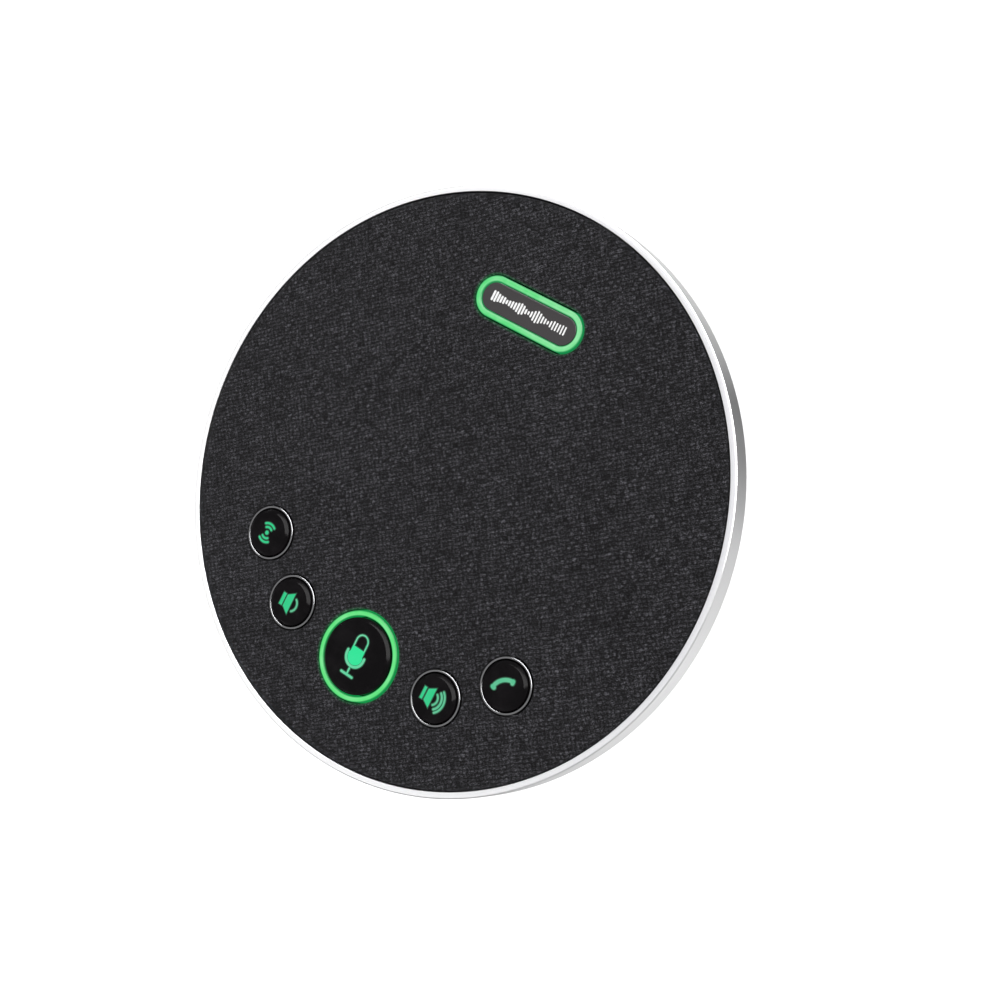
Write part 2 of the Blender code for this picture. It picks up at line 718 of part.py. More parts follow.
def electronics():
    radio = on_board("radio_module", (-35 * MM, 18 * MM), (12 * MM, 13 * MM, 0.8 * MM), "board_green")
    can_size = (9.6 * MM, 9.6 * MM, 2.4 * MM)
    can = on_board("radio_can", (-35 * MM, 17 * MM), can_size, None, 0.3 * MM)
    combine(radio, can, "UNION")
    on_board("audio_chip", (32 * MM, 15 * MM), (8 * MM, 8 * MM, 1.1 * MM), "black_plastic", 0.15 * MM)
    on_board("battery_socket", (22 * MM, 10 * MM), (4.5 * MM, 4 * MM, 3 * MM), "switch_plastic", 0.2 * MM)
    length, depth, height = BATTERY_SIZE
    low = FLOOR_TOP + GAP
    block(
        "battery_pack",
        (-length / 2, -depth / 2, low),
        (length / 2, depth / 2, low + height),
        "battery_wrap",
        1.2 * MM,
    )
    route = [(24.9, -1, 7.0), (27.2, -0.5, 7.4), (27.6, 1, 9.4)]
    route += [(26.4, 2.6, 12.0), (24.6, 4.8, 13.6), (22.8, 7.1, 14.2)]
    wire("battery_lead", [(x * MM, y * MM, z * MM) for x, y, z in route], 0.7 * MM, "red_wire")


def microphones():
    """Four capsules under the deck's pinholes, each in a rubber boot."""
    boot_top = DECK_BOTTOM - GAP
    boot_low = boot_top - 2.5 * MM
    boot = [(3.0 * MM, boot_top), (3.0 * MM, boot_low), (1.0 * MM, boot_low), (1.0 * MM, boot_top)]
    board_top = boot_low - GAP
    for number, angle in enumerate(MIC_ANGLES, start=1):
        x, y = polar(MIC_CIRCLE, angle)
        turned(f"mic_boot_{number}", boot, "dark_rubber", 14, (x, y, 0.0))
        outline = circle(3.3 * MM, 14, (x, y))
        board = slab(f"mic_board_{number}", [outline], board_top - 0.8 * MM, board_top, "board_green")
        low = (x - 1.8 * MM, y - 1.4 * MM, board_top - 1.9 * MM)
        high = (x + 1.8 * MM, y + 1.4 * MM, board_top - 0.4 * MM)
        combine(board, block(f"mic_capsule_{number}", low, high, None), "UNION")


# ---- ports ----


def port_panel():
    """The recessed rear panel, flush with the base shell round its pocket."""
    body = rounded(grown(PORT_WINDOW, -GAP), PORT_CORNER - GAP, centre=(0.0, PORT_Z))
    panel = slab("port_panel", [body], PORT_BACK, 66 * MM, "black_plastic", upright=True)
    side = [(0.0, SHELL_TOP)] + shell_side(5) + [(0.0, SHELL_BOTTOM)]
    envelope = turned("shell_envelope", side, None, 48)
    combine(panel, envelope, "INTERSECT")
    pocket = rounded(PORT_POCKET, PORT_CORNER - 1.5 * MM, centre=(0.0, PORT_Z))
    combine(panel, slab("port_pocket", [pocket], PORT_FACE, 70 * MM, None, upright=True))
    openings = {
        "usb_window": stadium(USB_SIZE, GAP, 4, (USB_X, PORT_Z)),
        "jack_window": circle(3.0 * MM + GAP, 20, (JACK_X, PORT_Z)),
        "power_window": circle(POWER_RADIUS + GAP, 20, (POWER_X, PORT_Z)),
    }
    for name, outline in openings.items():
        cutter = slab(name, [outline], PORT_BACK - 1 * MM, PORT_FACE + 1 * MM, None, upright=True)
        combine(panel, cutter)


def usb_c_receptacle():
    """A metal shell round a tongue, on a foot that reaches the main board."""
    front = PORT_FACE - GAP
    back = front - 7.5 * MM
    centre = (USB_X, PORT_Z)
    shell = slab("usb_c_receptacle", [stadium(USB_SIZE, 0, 4, centre)], back, front, "steel", upright=True)
    foot_top = PORT_Z - USB_SIZE[1] / 2 + 0.2 * MM
    low = (USB_X - 3.2 * MM, back, MAIN_BOARD_TOP + GAP)
    high = (USB_X + 3.2 * MM, PORT_BACK - 3 * MM, foot_top)
    combine(shell, block("usb_foot", low, high, None), "UNION")
    wall = 0.32 * MM
    mouth = stadium(USB_SIZE, -wall, 4, centre)
    combine(shell, slab("usb_mouth", [mouth], back + 1 * MM, front + 1 * MM, None, upright=True))
    low = (USB_X - 3.35 * MM, back + 0.5 * MM, PORT_Z - 0.35 * MM)
    high = (USB_X + 3.35 * MM, front - 1.2 * MM, PORT_Z + 0.35 * MM)
    combine(shell, block("usb_tongue", low, high, None), "UNION")


def audio_jack():
    body_low = (JACK_X - 3.3 * MM, 32 * MM, MAIN_BOARD_TOP + GAP)
    body_high = (JACK_X + 3.3 * MM, PORT_BACK - GAP, PORT_Z + 2.8 * MM)
    jack = block("audio_jack", body_low, body_high, "black_plastic")
    snout = [circle(3.0 * MM, 20, (JACK_X, PORT_Z))]
    front = PORT_FACE - GAP
    combine(jack, slab("jack_snout", snout, PORT_BACK - 2 * MM, front, None, upright=True), "UNION")
    bore = [circle(JACK_BORE, 16, (JACK_X, PORT_Z))]
    combine(jack, slab("jack_bore", bore, 33 * MM, front + 1 * MM, None, upright=True))


def power_button():
    """The button slides in along -Y; its flange stops it behind the panel."""
    flange_front = -GAP
    flange_back = flange_front - LIP_THICKNESS
    tip = PORT_FACE - PORT_BACK + POWER_PROUD
    profile = [
        (0.0, tip),
        (POWER_RADIUS - 0.3 * MM, tip),
        (POWER_RADIUS, tip - 0.3 * MM),
        (POWER_RADIUS, flange_front),
        (POWER_RADIUS + 0.8 * MM, flange_front),
        (POWER_RADIUS + 0.8 * MM, flange_back),
        (0.0, flange_back),
    ]
    turned("power_button", profile, "gloss_black", 20, (POWER_X, PORT_BACK, PORT_Z), facing_rear=True)
    switch_front = PORT_BACK + flange_back - KEY_TRAVEL - GAP
    low = (POWER_X - 3 * MM, switch_front - 3.2 * MM, MAIN_BOARD_TOP + GAP)
    high = (POWER_X + 3 * MM, switch_front, PORT_Z + 2 * MM)
    block("power_switch", low, high, "switch_plastic", 0.2 * MM)


base_shell()
base_screws()
rim_ring()
foot_ring()
top_deck()
fabric_cover()
keys()
key_board()
badge()
speaker()
main_board()
electronics()
microphones()
port_panel()
usb_c_receptacle()
audio_jack()
power_button()
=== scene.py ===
"""Looks of the conference speakerphone: finely modelled outer pieces, procedural materials,
a plain white floor, soft studio light and the camera. Lengths are metres, written as numbers of MM.
"""

from math import atan2, cos, degrees, dist, pi, radians, sin, tan

import bmesh
import bpy
from mathutils import Matrix, Vector


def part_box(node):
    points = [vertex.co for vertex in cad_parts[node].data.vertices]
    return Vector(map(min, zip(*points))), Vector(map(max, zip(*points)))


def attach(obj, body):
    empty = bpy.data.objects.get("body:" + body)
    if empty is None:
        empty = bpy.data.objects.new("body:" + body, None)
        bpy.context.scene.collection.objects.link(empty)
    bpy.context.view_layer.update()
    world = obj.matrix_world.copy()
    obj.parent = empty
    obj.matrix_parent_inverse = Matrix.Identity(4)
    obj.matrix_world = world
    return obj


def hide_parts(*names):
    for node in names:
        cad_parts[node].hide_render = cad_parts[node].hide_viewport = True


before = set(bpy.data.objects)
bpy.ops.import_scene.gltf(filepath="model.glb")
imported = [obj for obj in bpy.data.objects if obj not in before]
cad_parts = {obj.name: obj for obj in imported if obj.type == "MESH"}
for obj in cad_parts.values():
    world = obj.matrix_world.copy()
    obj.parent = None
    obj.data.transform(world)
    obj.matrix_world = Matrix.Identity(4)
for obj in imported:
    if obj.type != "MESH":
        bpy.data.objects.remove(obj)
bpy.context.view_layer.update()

MM = 0.001
GAP = 0.3 * MM
HOUSING = "housing"

# ---- sizes, the first ones from the CAD model's boxes ----

OUTER_RADIUS, _, RIM_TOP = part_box("rim_ring")[1]
RIM_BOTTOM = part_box("rim_ring")[0].z
COVER_RADIUS, _, COVER_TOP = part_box("fabric_cover")[1]
COVER_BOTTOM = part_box("fabric_cover")[0].z
SHELL_BOTTOM, SPIGOT_TOP = (corner.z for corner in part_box("base_shell"))
SHELL_TOP = RIM_BOTTOM - GAP
FOOT_RADIUS, _, FOOT_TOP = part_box("foot_ring")[1]
FOOT_INNER = 34.0 * MM
RIM_WIDTH = 1.43 * MM
SHELL_RADIUS = 63.4 * MM
FLOOR_RADIUS = 48.0 * MM
FLOOR_EDGE = 1.2 * MM
SHELL_WALL = 1.8 * MM
SCREW_PLACES = [(40.0 * MM, angle) for angle in (-15, 55, 125, 195)]  # distance and degrees
SCREW_POST_RADIUS = 3.4 * MM
SCREW_POST_TOP = 20.0 * MM
SCREW_BORE_RADIUS = 1.55 * MM
SCREW_HEAD_RADIUS = 2.8 * MM
SCREW_HEAD_TOP = 5.8 * MM
BOARD_POSTS = {
    "key_board": [(37.0 * MM, -106), (37.0 * MM, -74)],
    "main_board": [(45.5 * MM, 25), (45.5 * MM, 155), (22.0 * MM, 90)],
}
BOARD_POST_RADIUS = 2.0 * MM

SMALL_KEYS = ["pairing", "volume_down", "volume_up", "call"]
BEZEL_RADII = (5.4 * MM, 5.88 * MM)
MUTE_RADII = (8.5 * MM, 9.65 * MM)
BADGE_SIZE = (26.6 * MM, 8.95 * MM)
BADGE_RING_WIDTH = 1.35 * MM

PORT_Z = 15.5 * MM
PORT_FACE = 47.0 * MM
PORT_BACK = 45.0 * MM
PORT_WINDOW = (41.0 * MM, 12.2 * MM)
PORT_POCKET = (37.0 * MM, 8.8 * MM)
PORT_CORNER = 3.0 * MM
USB_X = 11.0 * MM
USB_SIZE = (8.94 * MM, 3.26 * MM)
JACK_RADIUS = 3.0 * MM
JACK_BORE = 1.8 * MM
POWER_X = -12.0 * MM
POWER_RADIUS = 2.3 * MM


def centre_of(node):
    """The x and y of the middle of a node's box."""
    low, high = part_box(node)
    return tuple((low + high) / 2)[:2]


def key_place(name):
    return centre_of(f"{name}_key")


BADGE_CENTRE = centre_of("badge_light_ring")
MUTE_CENTRE = key_place("mute")

# ---- outlines in a plane: lists of (x, y) points ----


def polar(radius, turn, centre=(0.0, 0.0)):
    angle = radians(turn)
    return centre[0] + radius * cos(angle), centre[1] + radius * sin(angle)


def arc(radius, start, end, steps, centre=(0.0, 0.0)):
    return [polar(radius, start + (end - start) * i / steps, centre) for i in range(steps + 1)]


def circle(radius, steps=96, centre=(0.0, 0.0)):
    return arc(radius, 0, 360, steps, centre)[:-1]


def rounded(size, corner, steps=8, centre=(0.0, 0.0)):
    """A rectangle with round corners: a stadium when corner is half its height."""
    half_x, half_y = (side / 2 - corner for side in size)
    nearest = 0.002 * MM
    points = []
    for start, side_x, side_y in ((0, 1, 1), (90, -1, 1), (180, -1, -1), (270, 1, -1)):
        middle = (centre[0] + side_x * half_x, centre[1] + side_y * half_y)
        for point in arc(corner, start, start + 90, steps, middle):
            if not points or dist(point, points[-1]) > nearest:
                points.append(point)
    if dist(points[0], points[-1]) < nearest:
        points.pop()
    return points


def stadium(size, margin=0.0, steps=16, centre=(0.0, 0.0)):
    grown = (size[0] + 2 * margin, size[1] + 2 * margin)
    return rounded(grown, min(grown) / 2, steps, centre)


def stroke(path, width, steps=6):
    """The outline of a pen line of one width along path, with round ends."""
    left, right, normals = [], [], []
    half = width / 2
    for i, point in enumerate(path):
        before = path[max(i - 1, 0)]
        after = path[min(i + 1, len(path) - 1)]
        along = atan2(after[1] - before[1], after[0] - before[0])
        normals.append(degrees(along) + 90)
        left.append(polar(half, normals[-1], point))
        right.append(polar(half, normals[-1] + 180, point))
    end_cap = arc(half, normals[-1], normals[-1] - 180, steps, path[-1])[1:-1]
    start_cap = arc(half, normals[0] + 180, normals[0], steps, path[0])[1:-1]
    return left + end_cap + right[::-1] + start_cap


# ---- materials ----


class Look:
    """A material with short calls for the nodes that it needs."""

    def __init__(self, name, colour, roughness, **inputs):
        self.material = bpy.data.materials.new(name)
        self.material.use_nodes = True
        self.nodes = self.material.node_tree.nodes
        self.links = self.material.node_tree.links
        self.shader = self.nodes["Principled BSDF"]
        self.set("Base Color", (*colour, 1.0))
        self.set("Roughness", roughness)
        for socket, value in inputs.items():
            self.set(socket.replace("_", " "), value)
        self.place = self.nodes.new("ShaderNodeTexCoord").outputs["Object"]

    def set(self, socket, value):
        self.feed(self.shader.inputs[socket], value)

    def feed(self, socket, value):
        if isinstance(value, bpy.types.NodeSocket):
            self.links.new(value, socket)
        else:
            socket.default_value = value

    def node(self, kind, *values, **settings):
        """A new node, with values for its first sockets."""
        node = self.nodes.new("ShaderNode" + kind)
        for setting, value in settings.items():
            setattr(node, setting, value)
        for socket, value in zip(node.inputs, values):
            self.feed(socket, value)
        return node

    def calc(self, operation, *values, clamp=False):
        return self.node("Math", *values, operation=operation, use_clamp=clamp).outputs[0]

    def plus(self, first, second):
        return self.calc("ADD", first, second)

    def minus(self, first, second):
        return self.calc("SUBTRACT", first, second)

    def times(self, first, second):
        return self.calc("MULTIPLY", first, second)

    def parts(self, vector):
        return self.node("SeparateXYZ", vector).outputs

    def joined(self, x, y, z=0.0):
        return self.node("CombineXYZ", x, y, z).outputs[0]

    def noise(self, scale, detail=2.0, roughness=0.5, vector=None):
        """Smooth noise, about 0 to 1, with features 1/scale metres apart."""
        return self.node("TexNoise", vector or self.place, 0.0, scale, detail, roughness).outputs[0]

    def dice(self, vector):
        """A random number from 0 to 1 for each different vector."""
        return self.node("TexWhiteNoise", vector).outputs[0]

    def cells(self, scale, feature="F1", randomness=1.0):
        """Distance from the middles of random cells, or from their edges."""
        node = self.node("TexVoronoi", self.place, feature=feature)
        node.inputs["Scale"].default_value = scale
        node.inputs["Randomness"].default_value = randomness
        return node.outputs["Distance"]

    def range(self, value, low, high, to_low, to_high):
        """The value, held between low and high, as a number between to_low and to_high."""
        return self.node("MapRange", value, low, high, to_low, to_high).outputs[0]

    def share(self, value, low, high):
        """The value, held between low and high, as a number from 0 to 1."""
        return self.range(value, low, high, 0.0, 1.0)

    def mix(self, share, first, second):
        """Colour first where share is 0 and second where it is 1."""
        node = self.node("Mix", share, data_type="RGBA")
        for socket, value in zip((node.inputs[6], node.inputs[7]), (first, second)):
            self.feed(socket, value if isinstance(value, bpy.types.NodeSocket) else (*value, 1.0))
        return node.outputs[2]

    def paint(self, share, first, second):
        self.set("Base Color", self.mix(share, first, second))

    def bump(self, height, depth, strength=1.0):
        """Relief: height from 0 to 1 stands for 0 to depth metres."""
        node = self.node("Bump")
        node.inputs["Strength"].default_value = strength
        node.inputs["Distance"].default_value = depth
        self.feed(node.inputs["Height"], height)
        self.set("Normal", node.outputs[0])


def shade(colour, factor):
    return tuple(min(1.0, channel * factor) for channel in colour)


def moulded(name, colour, roughness, grain=5000, depth=0.02 * MM, spread=0.15, **inputs):
    """Moulded or cast stuff: a fine even grain, with colour and gloss that drift a little."""
    look = Look(name, colour, roughness, **inputs)
    drift = look.noise(60, 3)
    speck = look.noise(grain, 2, 0.6)
    both = look.plus(look.times(drift, 0.7), look.times(speck, 0.3))
    share = look.share(both, 0.3, 0.7)
    look.paint(share, shade(colour, 1 - spread), shade(colour, 1 + spread))
    look.set("Roughness", look.range(both, 0.25, 0.75, roughness - 0.06, roughness + 0.06))
    look.bump(speck, depth, 0.6)
    return look.material


def metal(name, colour, roughness, grain=7000, depth=0.01 * MM, **inputs):
    return moulded(name, colour, roughness, grain, depth, 0.04, Metallic=1.0, **inputs)


WEAVE_ANGLE = radians(36.7)  # of the rows, from +X towards +Y
ROW_PITCH = 0.843 * MM
COLUMN_PITCH = 0.913 * MM
WEAVE_DEPTH = 0.22 * MM
PAINTED_GLOW_REACH = 1.0 * MM  # of a light ring's painted green glow on the cloth beside it
PAINTED_GLOW_STRENGTH = 0.2


def weave_place(look):
    """The place on the cloth, counted in columns and in rows of yarn that wander a little."""
    x, y, _ = look.parts(look.place)
    cosine, sine = cos(WEAVE_ANGLE), sin(WEAVE_ANGLE)
    along = look.plus(look.times(x, cosine), look.times(y, sine))
    across = look.minus(look.times(y, cosine), look.times(x, sine))
    sway = look.range(look.noise(260, 3, 0.6), 0.0, 1.0, -0.75, 0.75)
    drift = look.range(look.noise(900, 2), 0.0, 1.0, -0.55, 0.55)
    u = look.plus(look.calc("DIVIDE", along, COLUMN_PITCH), drift)
    v = look.plus(look.calc("DIVIDE", across, ROW_PITCH), sway)
    return u, v


def yarn_height(look, across, along, side, least, swing):
    """A yarn, domed across, that swells where it is on top (side 1) and dips where it is below (-1)."""
    doubled = look.calc("MULTIPLY_ADD", across, 2.0, -1.0)
    dome = look.calc("MULTIPLY_ADD", look.times(doubled, doubled), -1.0, 1.0)
    wave = look.calc("SINE", look.times(along, pi))
    return look.times(dome, look.calc("MULTIPLY_ADD", look.times(wave, side), swing, least))


def painted_ring_glow(look):
    """Painted light: 1 on the cloth at the edge of each green ring, and 0 beyond the ring's reach."""
    glow = 0.0
    for centre, outer, straight in (
        (MUTE_CENTRE, MUTE_RADII[1], 0.0),
        (BADGE_CENTRE, BADGE_SIZE[1] / 2, BADGE_SIZE[0] - BADGE_SIZE[1]),
    ):
        radius, _ = round_place(look, centre, straight)
        near = look.range(radius, outer, outer + PAINTED_GLOW_REACH, 1.0, 0.0)
        glow = look.calc("MULTIPLY_ADD", near, near, glow)
    return glow


def woven_fabric():
    """A plain weave of thick rows over thinner columns, in heathered dark grey yarn, with painted shade
    where the yarn dips and a painted green glow beside the light rings.
    """
    inputs = {"Specular IOR Level": 0.12, "Sheen Weight": 0.02, "Sheen Roughness": 0.6}
    look = Look("woven_fabric", (0.032, 0.032, 0.035), 0.92, **inputs)
    u, v = weave_place(look)
    column, row = look.calc("FLOOR", u), look.calc("FLOOR", v)
    in_column, in_row = look.calc("FRACT", u), look.calc("FRACT", v)
    over = look.calc("FLOORED_MODULO", look.plus(column, row), 2.0)
    side = look.calc("MULTIPLY_ADD", over, -2.0, 1.0)
    weft = yarn_height(look, in_row, in_column, side, 0.62, 0.38)
    warp = yarn_height(look, in_column, in_row, look.times(side, -1.0), 0.42, 0.36)
    height = look.calc("MAXIMUM", weft, warp)
    on_row = look.calc("GREATER_THAN", weft, warp)

    dash = look.calc("FLOOR", look.times(u, 0.8))
    row_yarn = look.times(look.dice(look.joined(dash, row)), on_row)
    column_yarn = look.times(look.dice(look.joined(column, row, 5.0)), look.minus(1.0, on_row))
    luck = look.dice(look.joined(column, row, 9.0))
    fibre = look.noise(4600, 3, 0.8)
    pits = look.noise(5200, 1, 0.5)
    strands = look.noise(1.0, 2, 0.7, look.joined(look.times(u, 1.6), look.times(v, 4.2)))
    tone = look.range(look.plus(row_yarn, column_yarn), 0.0, 1.0, 0.6, 1.4)
    tone = look.plus(tone, look.range(luck, 0.86, 1.0, 0.0, 0.6))
    for value, low, high, to_low, to_high in (
        (luck, 0.0, 0.12, 0.5, 1.0),
        (fibre, 0.35, 0.65, 0.1, 1.9),
        (pits, 0.34, 0.46, 0.2, 1.0),
        (strands, 0.35, 0.65, 0.15, 1.85),
        # painted shade: darker where the yarn dips between rows and columns, paler on its crown
        (height, 0.15, 0.9, 0.32, 1.25),
        (look.noise(45, 3), 0.3, 0.7, 0.9, 1.1),
    ):
        tone = look.times(tone, look.range(value, low, high, to_low, to_high))
    tone = look.calc("POWER", tone, 1.3)
    look.paint(look.times(tone, 0.24), (0.0, 0.0, 0.0), (0.101, 0.099, 0.112))
    lit_tone = look.range(tone, 0.0, 1.0, 0.4, 1.0)
    # painted light: the cloth glows green beside the light rings, more on its paler yarn
    look.set("Emission Color", (0.02, 1.0, 0.25, 1.0))
    look.set("Emission Strength", look.times(look.times(painted_ring_glow(look), lit_tone), PAINTED_GLOW_STRENGTH))
    look.bump(look.plus(look.times(height, 0.8), look.times(fibre, 0.2)), WEAVE_DEPTH, 0.8)
    return look.material


def lip_with_painted_light():
    """Bead-blasted metal for the lip, with painted light: paler on one side of the ring than on the other.
    """
    look = Look("lip_with_painted_light", (0.9, 0.9, 0.905), 0.45, Metallic=0.3)
    x, y, _ = look.parts(look.place)
    # painted light: the lip's tone follows the angle round the ring, palest towards 200 degrees and
    # darkest opposite
    turn = look.minus(look.calc("ARCTAN2", y, x), radians(200.0))
    share = look.share(look.calc("COSINE", turn), -0.9, 0.9)
    speck = look.noise(6000, 2, 0.6)
    share = look.plus(share, look.range(speck, 0.3, 0.7, -0.06, 0.06))
    look.paint(share, (0.68, 0.68, 0.70), (1.0, 1.0, 1.0))
    look.bump(speck, 0.006 * MM, 0.6)
    return look.material


def gloss_black():
    """Glossy key plastic with faint smears where fingers touch it."""
    look = Look("gloss_black", (0.005, 0.0045, 0.005), 0.14, Specular_IOR_Level=0.055)
    smear = look.share(look.noise(220, 4, 0.65), 0.42, 0.7)
    look.set("Roughness", look.range(smear, 0.0, 1.0, 0.12, 0.26))
    look.paint(smear, (0.0045, 0.004, 0.0045), (0.008, 0.007, 0.0078))
    look.bump(look.noise(2500, 2), 0.004 * MM, 0.5)
    return look.material


def lit(name, colour, pale, strength):
    """Diffusing plastic with light behind it."""
    look = Look(name, (0.01, 0.02, 0.012), 0.35, Emission_Strength=strength)
    mottle = look.range(look.noise(350, 2), 0.35, 0.7, 0.0, 0.7)
    look.set("Emission Color", look.mix(mottle, colour, pale))
    look.bump(look.noise(4000, 2), 0.01 * MM, 0.5)
    return look.material


def round_place(look, centre, straight=0.0):
    """Distance from the line of length straight along x through centre, and the angle about centre."""
    x, y, _ = look.parts(look.place)
    x, y = look.minus(x, centre[0]), look.minus(y, centre[1])
    beyond = look.calc("MAXIMUM", look.minus(look.calc("ABSOLUTE", x), straight / 2), 0.0)
    squares = look.plus(look.times(beyond, beyond), look.times(y, y))
    return look.calc("SQRT", squares), look.calc("ARCTAN2", y, x)


def light_guide(name, colour, pale, strength, centre, radii, straight=0.0, pale_spots=0):
    """A round or stadium-shaped light guide: paler at evenly spaced spots round it, and dim along both of
    its edges.

    Its straight sides run along x for the length straight, and radii are those of its round ends.
    The mute ring's pale spots lie at its lamps; the badge's single pale spot, at its +x end, is a painted
    highlight.
    """
    look = Look(name, (0.01, 0.02, 0.012), 0.3)
    radius, angle = round_place(look, centre, straight)
    middle, half = sum(radii) / 2, (radii[1] - radii[0]) / 2
    edge = look.share(look.calc("ABSOLUTE", look.minus(radius, middle)), half * 0.5, half * 0.95)
    look.set("Emission Strength", look.range(edge, 0.0, 1.0, strength, strength * 0.4))
    # pale spots: the mute ring's lamps, and on the badge one painted highlight at its +x end
    glow = look.range(look.calc("COSINE", look.times(angle, float(pale_spots))), 0.0, 1.0, 0.0, 0.45)
    inside = look.range(radius, radii[0], middle, 0.6, 0.0)
    mottle = look.range(look.noise(420, 3), 0.35, 0.7, -0.1, 0.4)
    share = look.calc("ADD", look.plus(glow, mottle), inside, clamp=True)
    deep = (colour[0] * 0.1, colour[1] * 0.9, colour[2] * 0.8)
    look.set("Emission Color", look.mix(edge, look.mix(share, colour, pale), deep))
    look.bump(look.noise(4000, 2), 0.01 * MM, 0.5)
    return look.material


def striped(name, dark, light, direction, pitch, roughness, metallic=0.0, depth=0.05 * MM, sharp=False):
    """Stuff with even stripes along one axis, such as windings or foil traces."""
    look = Look(name, light, roughness, Metallic=metallic)
    axis = look.parts(look.place)["XYZ".index(direction)]
    reach = 0.2 if sharp else 1.0
    band = look.share(look.calc("SINE", look.times(axis, 2 * pi / pitch)), -reach, reach)
    blotch = look.noise(500, 3)
    worn = look.times(band, look.range(blotch, 0.2, 0.8, 0.8, 1.0))
    look.paint(worn, dark, light)
    look.set("Roughness", look.range(blotch, 0.2, 0.8, roughness - 0.05, roughness + 0.1))
    look.bump(band, depth, 0.7)
    return look.material


def circuit_board():
    """Solder mask over copper traces, with tinned pads and vias."""
    mask, copper, tin = (0.008, 0.07, 0.032), (0.02, 0.16, 0.07), (0.62, 0.6, 0.55)
    look = Look("circuit_board", mask, 0.35)
    trace = look.range(look.cells(260, "DISTANCE_TO_EDGE", 0.35), 0.10, 0.12, 1.0, 0.0)
    pads = look.range(look.cells(420, "F1", 0.25), 0.17, 0.2, 1.0, 0.0)
    pads = look.times(pads, look.calc("GREATER_THAN", look.noise(160, 1), 0.56))
    look.paint(pads, look.mix(trace, mask, copper), tin)
    look.set("Metallic", look.times(pads, 0.9))
    look.set("Roughness", look.range(look.noise(900, 2), 0.2, 0.8, 0.28, 0.45))
    look.bump(look.plus(trace, pads), 0.03 * MM, 0.6)
    return look.material


def foam():
    """Open foam with small dark pores."""
    look = Look("foam", (0.045, 0.045, 0.05), 0.95)
    pores = look.cells(2600)
    look.paint(look.share(pores, 0.1, 0.7), (0.02, 0.02, 0.022), (0.07, 0.07, 0.075))
    look.bump(pores, 0.15 * MM, 0.9)
    return look.material


def battery_wrap():
    """Silvery pouch foil with creases."""
    look = Look("battery_wrap", (0.42, 0.44, 0.47), 0.3, Metallic=0.6)
    share = look.share(look.noise(80, 4), 0.3, 0.7)
    look.paint(share, (0.36, 0.38, 0.41), (0.5, 0.52, 0.55))
    look.set("Roughness", look.range(share, 0.0, 1.0, 0.26, 0.42))
    creases = look.cells(120, "DISTANCE_TO_EDGE", 0.9)
    look.bump(look.share(creases, 0.0, 0.15), 0.06 * MM, 0.6)
    return look.material


def cone_paper():
    """Pressed black paper with loose fibres."""
    look = Look("cone_paper", (0.03, 0.03, 0.032), 0.9)
    fibres = look.noise(900, 5, 0.75)
    look.paint(look.share(fibres, 0.3, 0.7), (0.02, 0.02, 0.021), (0.055, 0.054, 0.055))
    look.bump(fibres, 0.08 * MM, 0.8)
    return look.material


# Light colours of the icons
ICON_GREEN = (0.006, 0.86, 0.33)
ICON_PALE = (0.12, 0.76, 0.40)
LINE_PALE = (0.20, 0.80, 0.46)

MOULDED = {  # colour and roughness, then the grain's scale, its depth and the spread of its tone
    "grey_shell": ((0.20, 0.205, 0.215), 0.48, 3600, 0.05 * MM, 0.08),
    "dark_rubber": ((0.016, 0.016, 0.017), 0.78, 2600, 0.05 * MM),
    "black_plastic": ((0.014, 0.014, 0.015), 0.42, 3600, 0.03 * MM),
    "smoked_window": ((0.04, 0.0365, 0.038), 0.3, 5200, 0.006 * MM, 0.12),
    "badge_print": ((0.82, 0.82, 0.82), 0.5, 6000, 0.004 * MM, 0.04),
    "ferrite": ((0.035, 0.035, 0.037), 0.6, 2200, 0.08 * MM, 0.3),
    "red_wire": ((0.42, 0.012, 0.012), 0.42, 2600, 0.03 * MM),
    "black_wire": ((0.012, 0.012, 0.012), 0.45, 2600, 0.03 * MM),
    "switch_plastic": ((0.06, 0.06, 0.065), 0.45, 3200, 0.03 * MM),
}
METALS = {
    "satin_aluminium": ((0.86, 0.86, 0.865), 0.33),
    "chrome": ((0.38, 0.38, 0.39), 0.17, 6000, 0.004 * MM),
    "steel": ((0.52, 0.52, 0.53), 0.34, 4200, 0.02 * MM),
    "gold_contact": ((0.85, 0.62, 0.28), 0.28),
}
STRIPED = {  # dark, light, direction, pitch and roughness, then as striped names them
    "copper_coil": ((0.35, 0.12, 0.05), (0.85, 0.42, 0.2), "Z", 0.22 * MM, 0.3, 1.0),
    "flex_amber": ((0.16, 0.07, 0.01), (0.62, 0.30, 0.05), "X", 0.5 * MM, 0.35, 0.0, 0.02 * MM, True),
}
LOOKS = {
    "grey_fabric": woven_fabric(),
    "lip_with_painted_light": lip_with_painted_light(),
    "gloss_black": gloss_black(),
    "board_green": circuit_board(),
    "cone_paper": cone_paper(),
    "battery_wrap": battery_wrap(),
    "foam": foam(),
}
for make, table in ((moulded, MOULDED), (metal, METALS), (striped, STRIPED)):
    LOOKS.update({name: make(name, *values) for name, values in table.items()})

# ---- pieces ----

CREASE = radians(35)  # edges that turn more than this are sharp


def add_object(name, data):
    obj = bpy.data.objects.new(name, data)
    bpy.context.scene.collection.objects.link(obj)
    return obj


def finished_mesh(name, shape, place=(0.0, 0.0, 0.0), turn=0):
    """A bmesh as a mesh, turned by degrees about x and then moved to a place."""
    turned_x = Matrix.Rotation(radians(turn), 4, "X")
    shape.transform(Matrix.Translation(place) @ turned_x)
    mesh = bpy.data.meshes.new(name)
    shape.to_mesh(mesh)
    shape.free()
    return mesh


def evaluated_mesh(obj):
    """A new mesh of the object as its modifiers or curve settings shape it."""
    bpy.context.view_layer.update()
    return bpy.data.meshes.new_from_object(obj.evaluated_get(bpy.context.evaluated_depsgraph_get()))


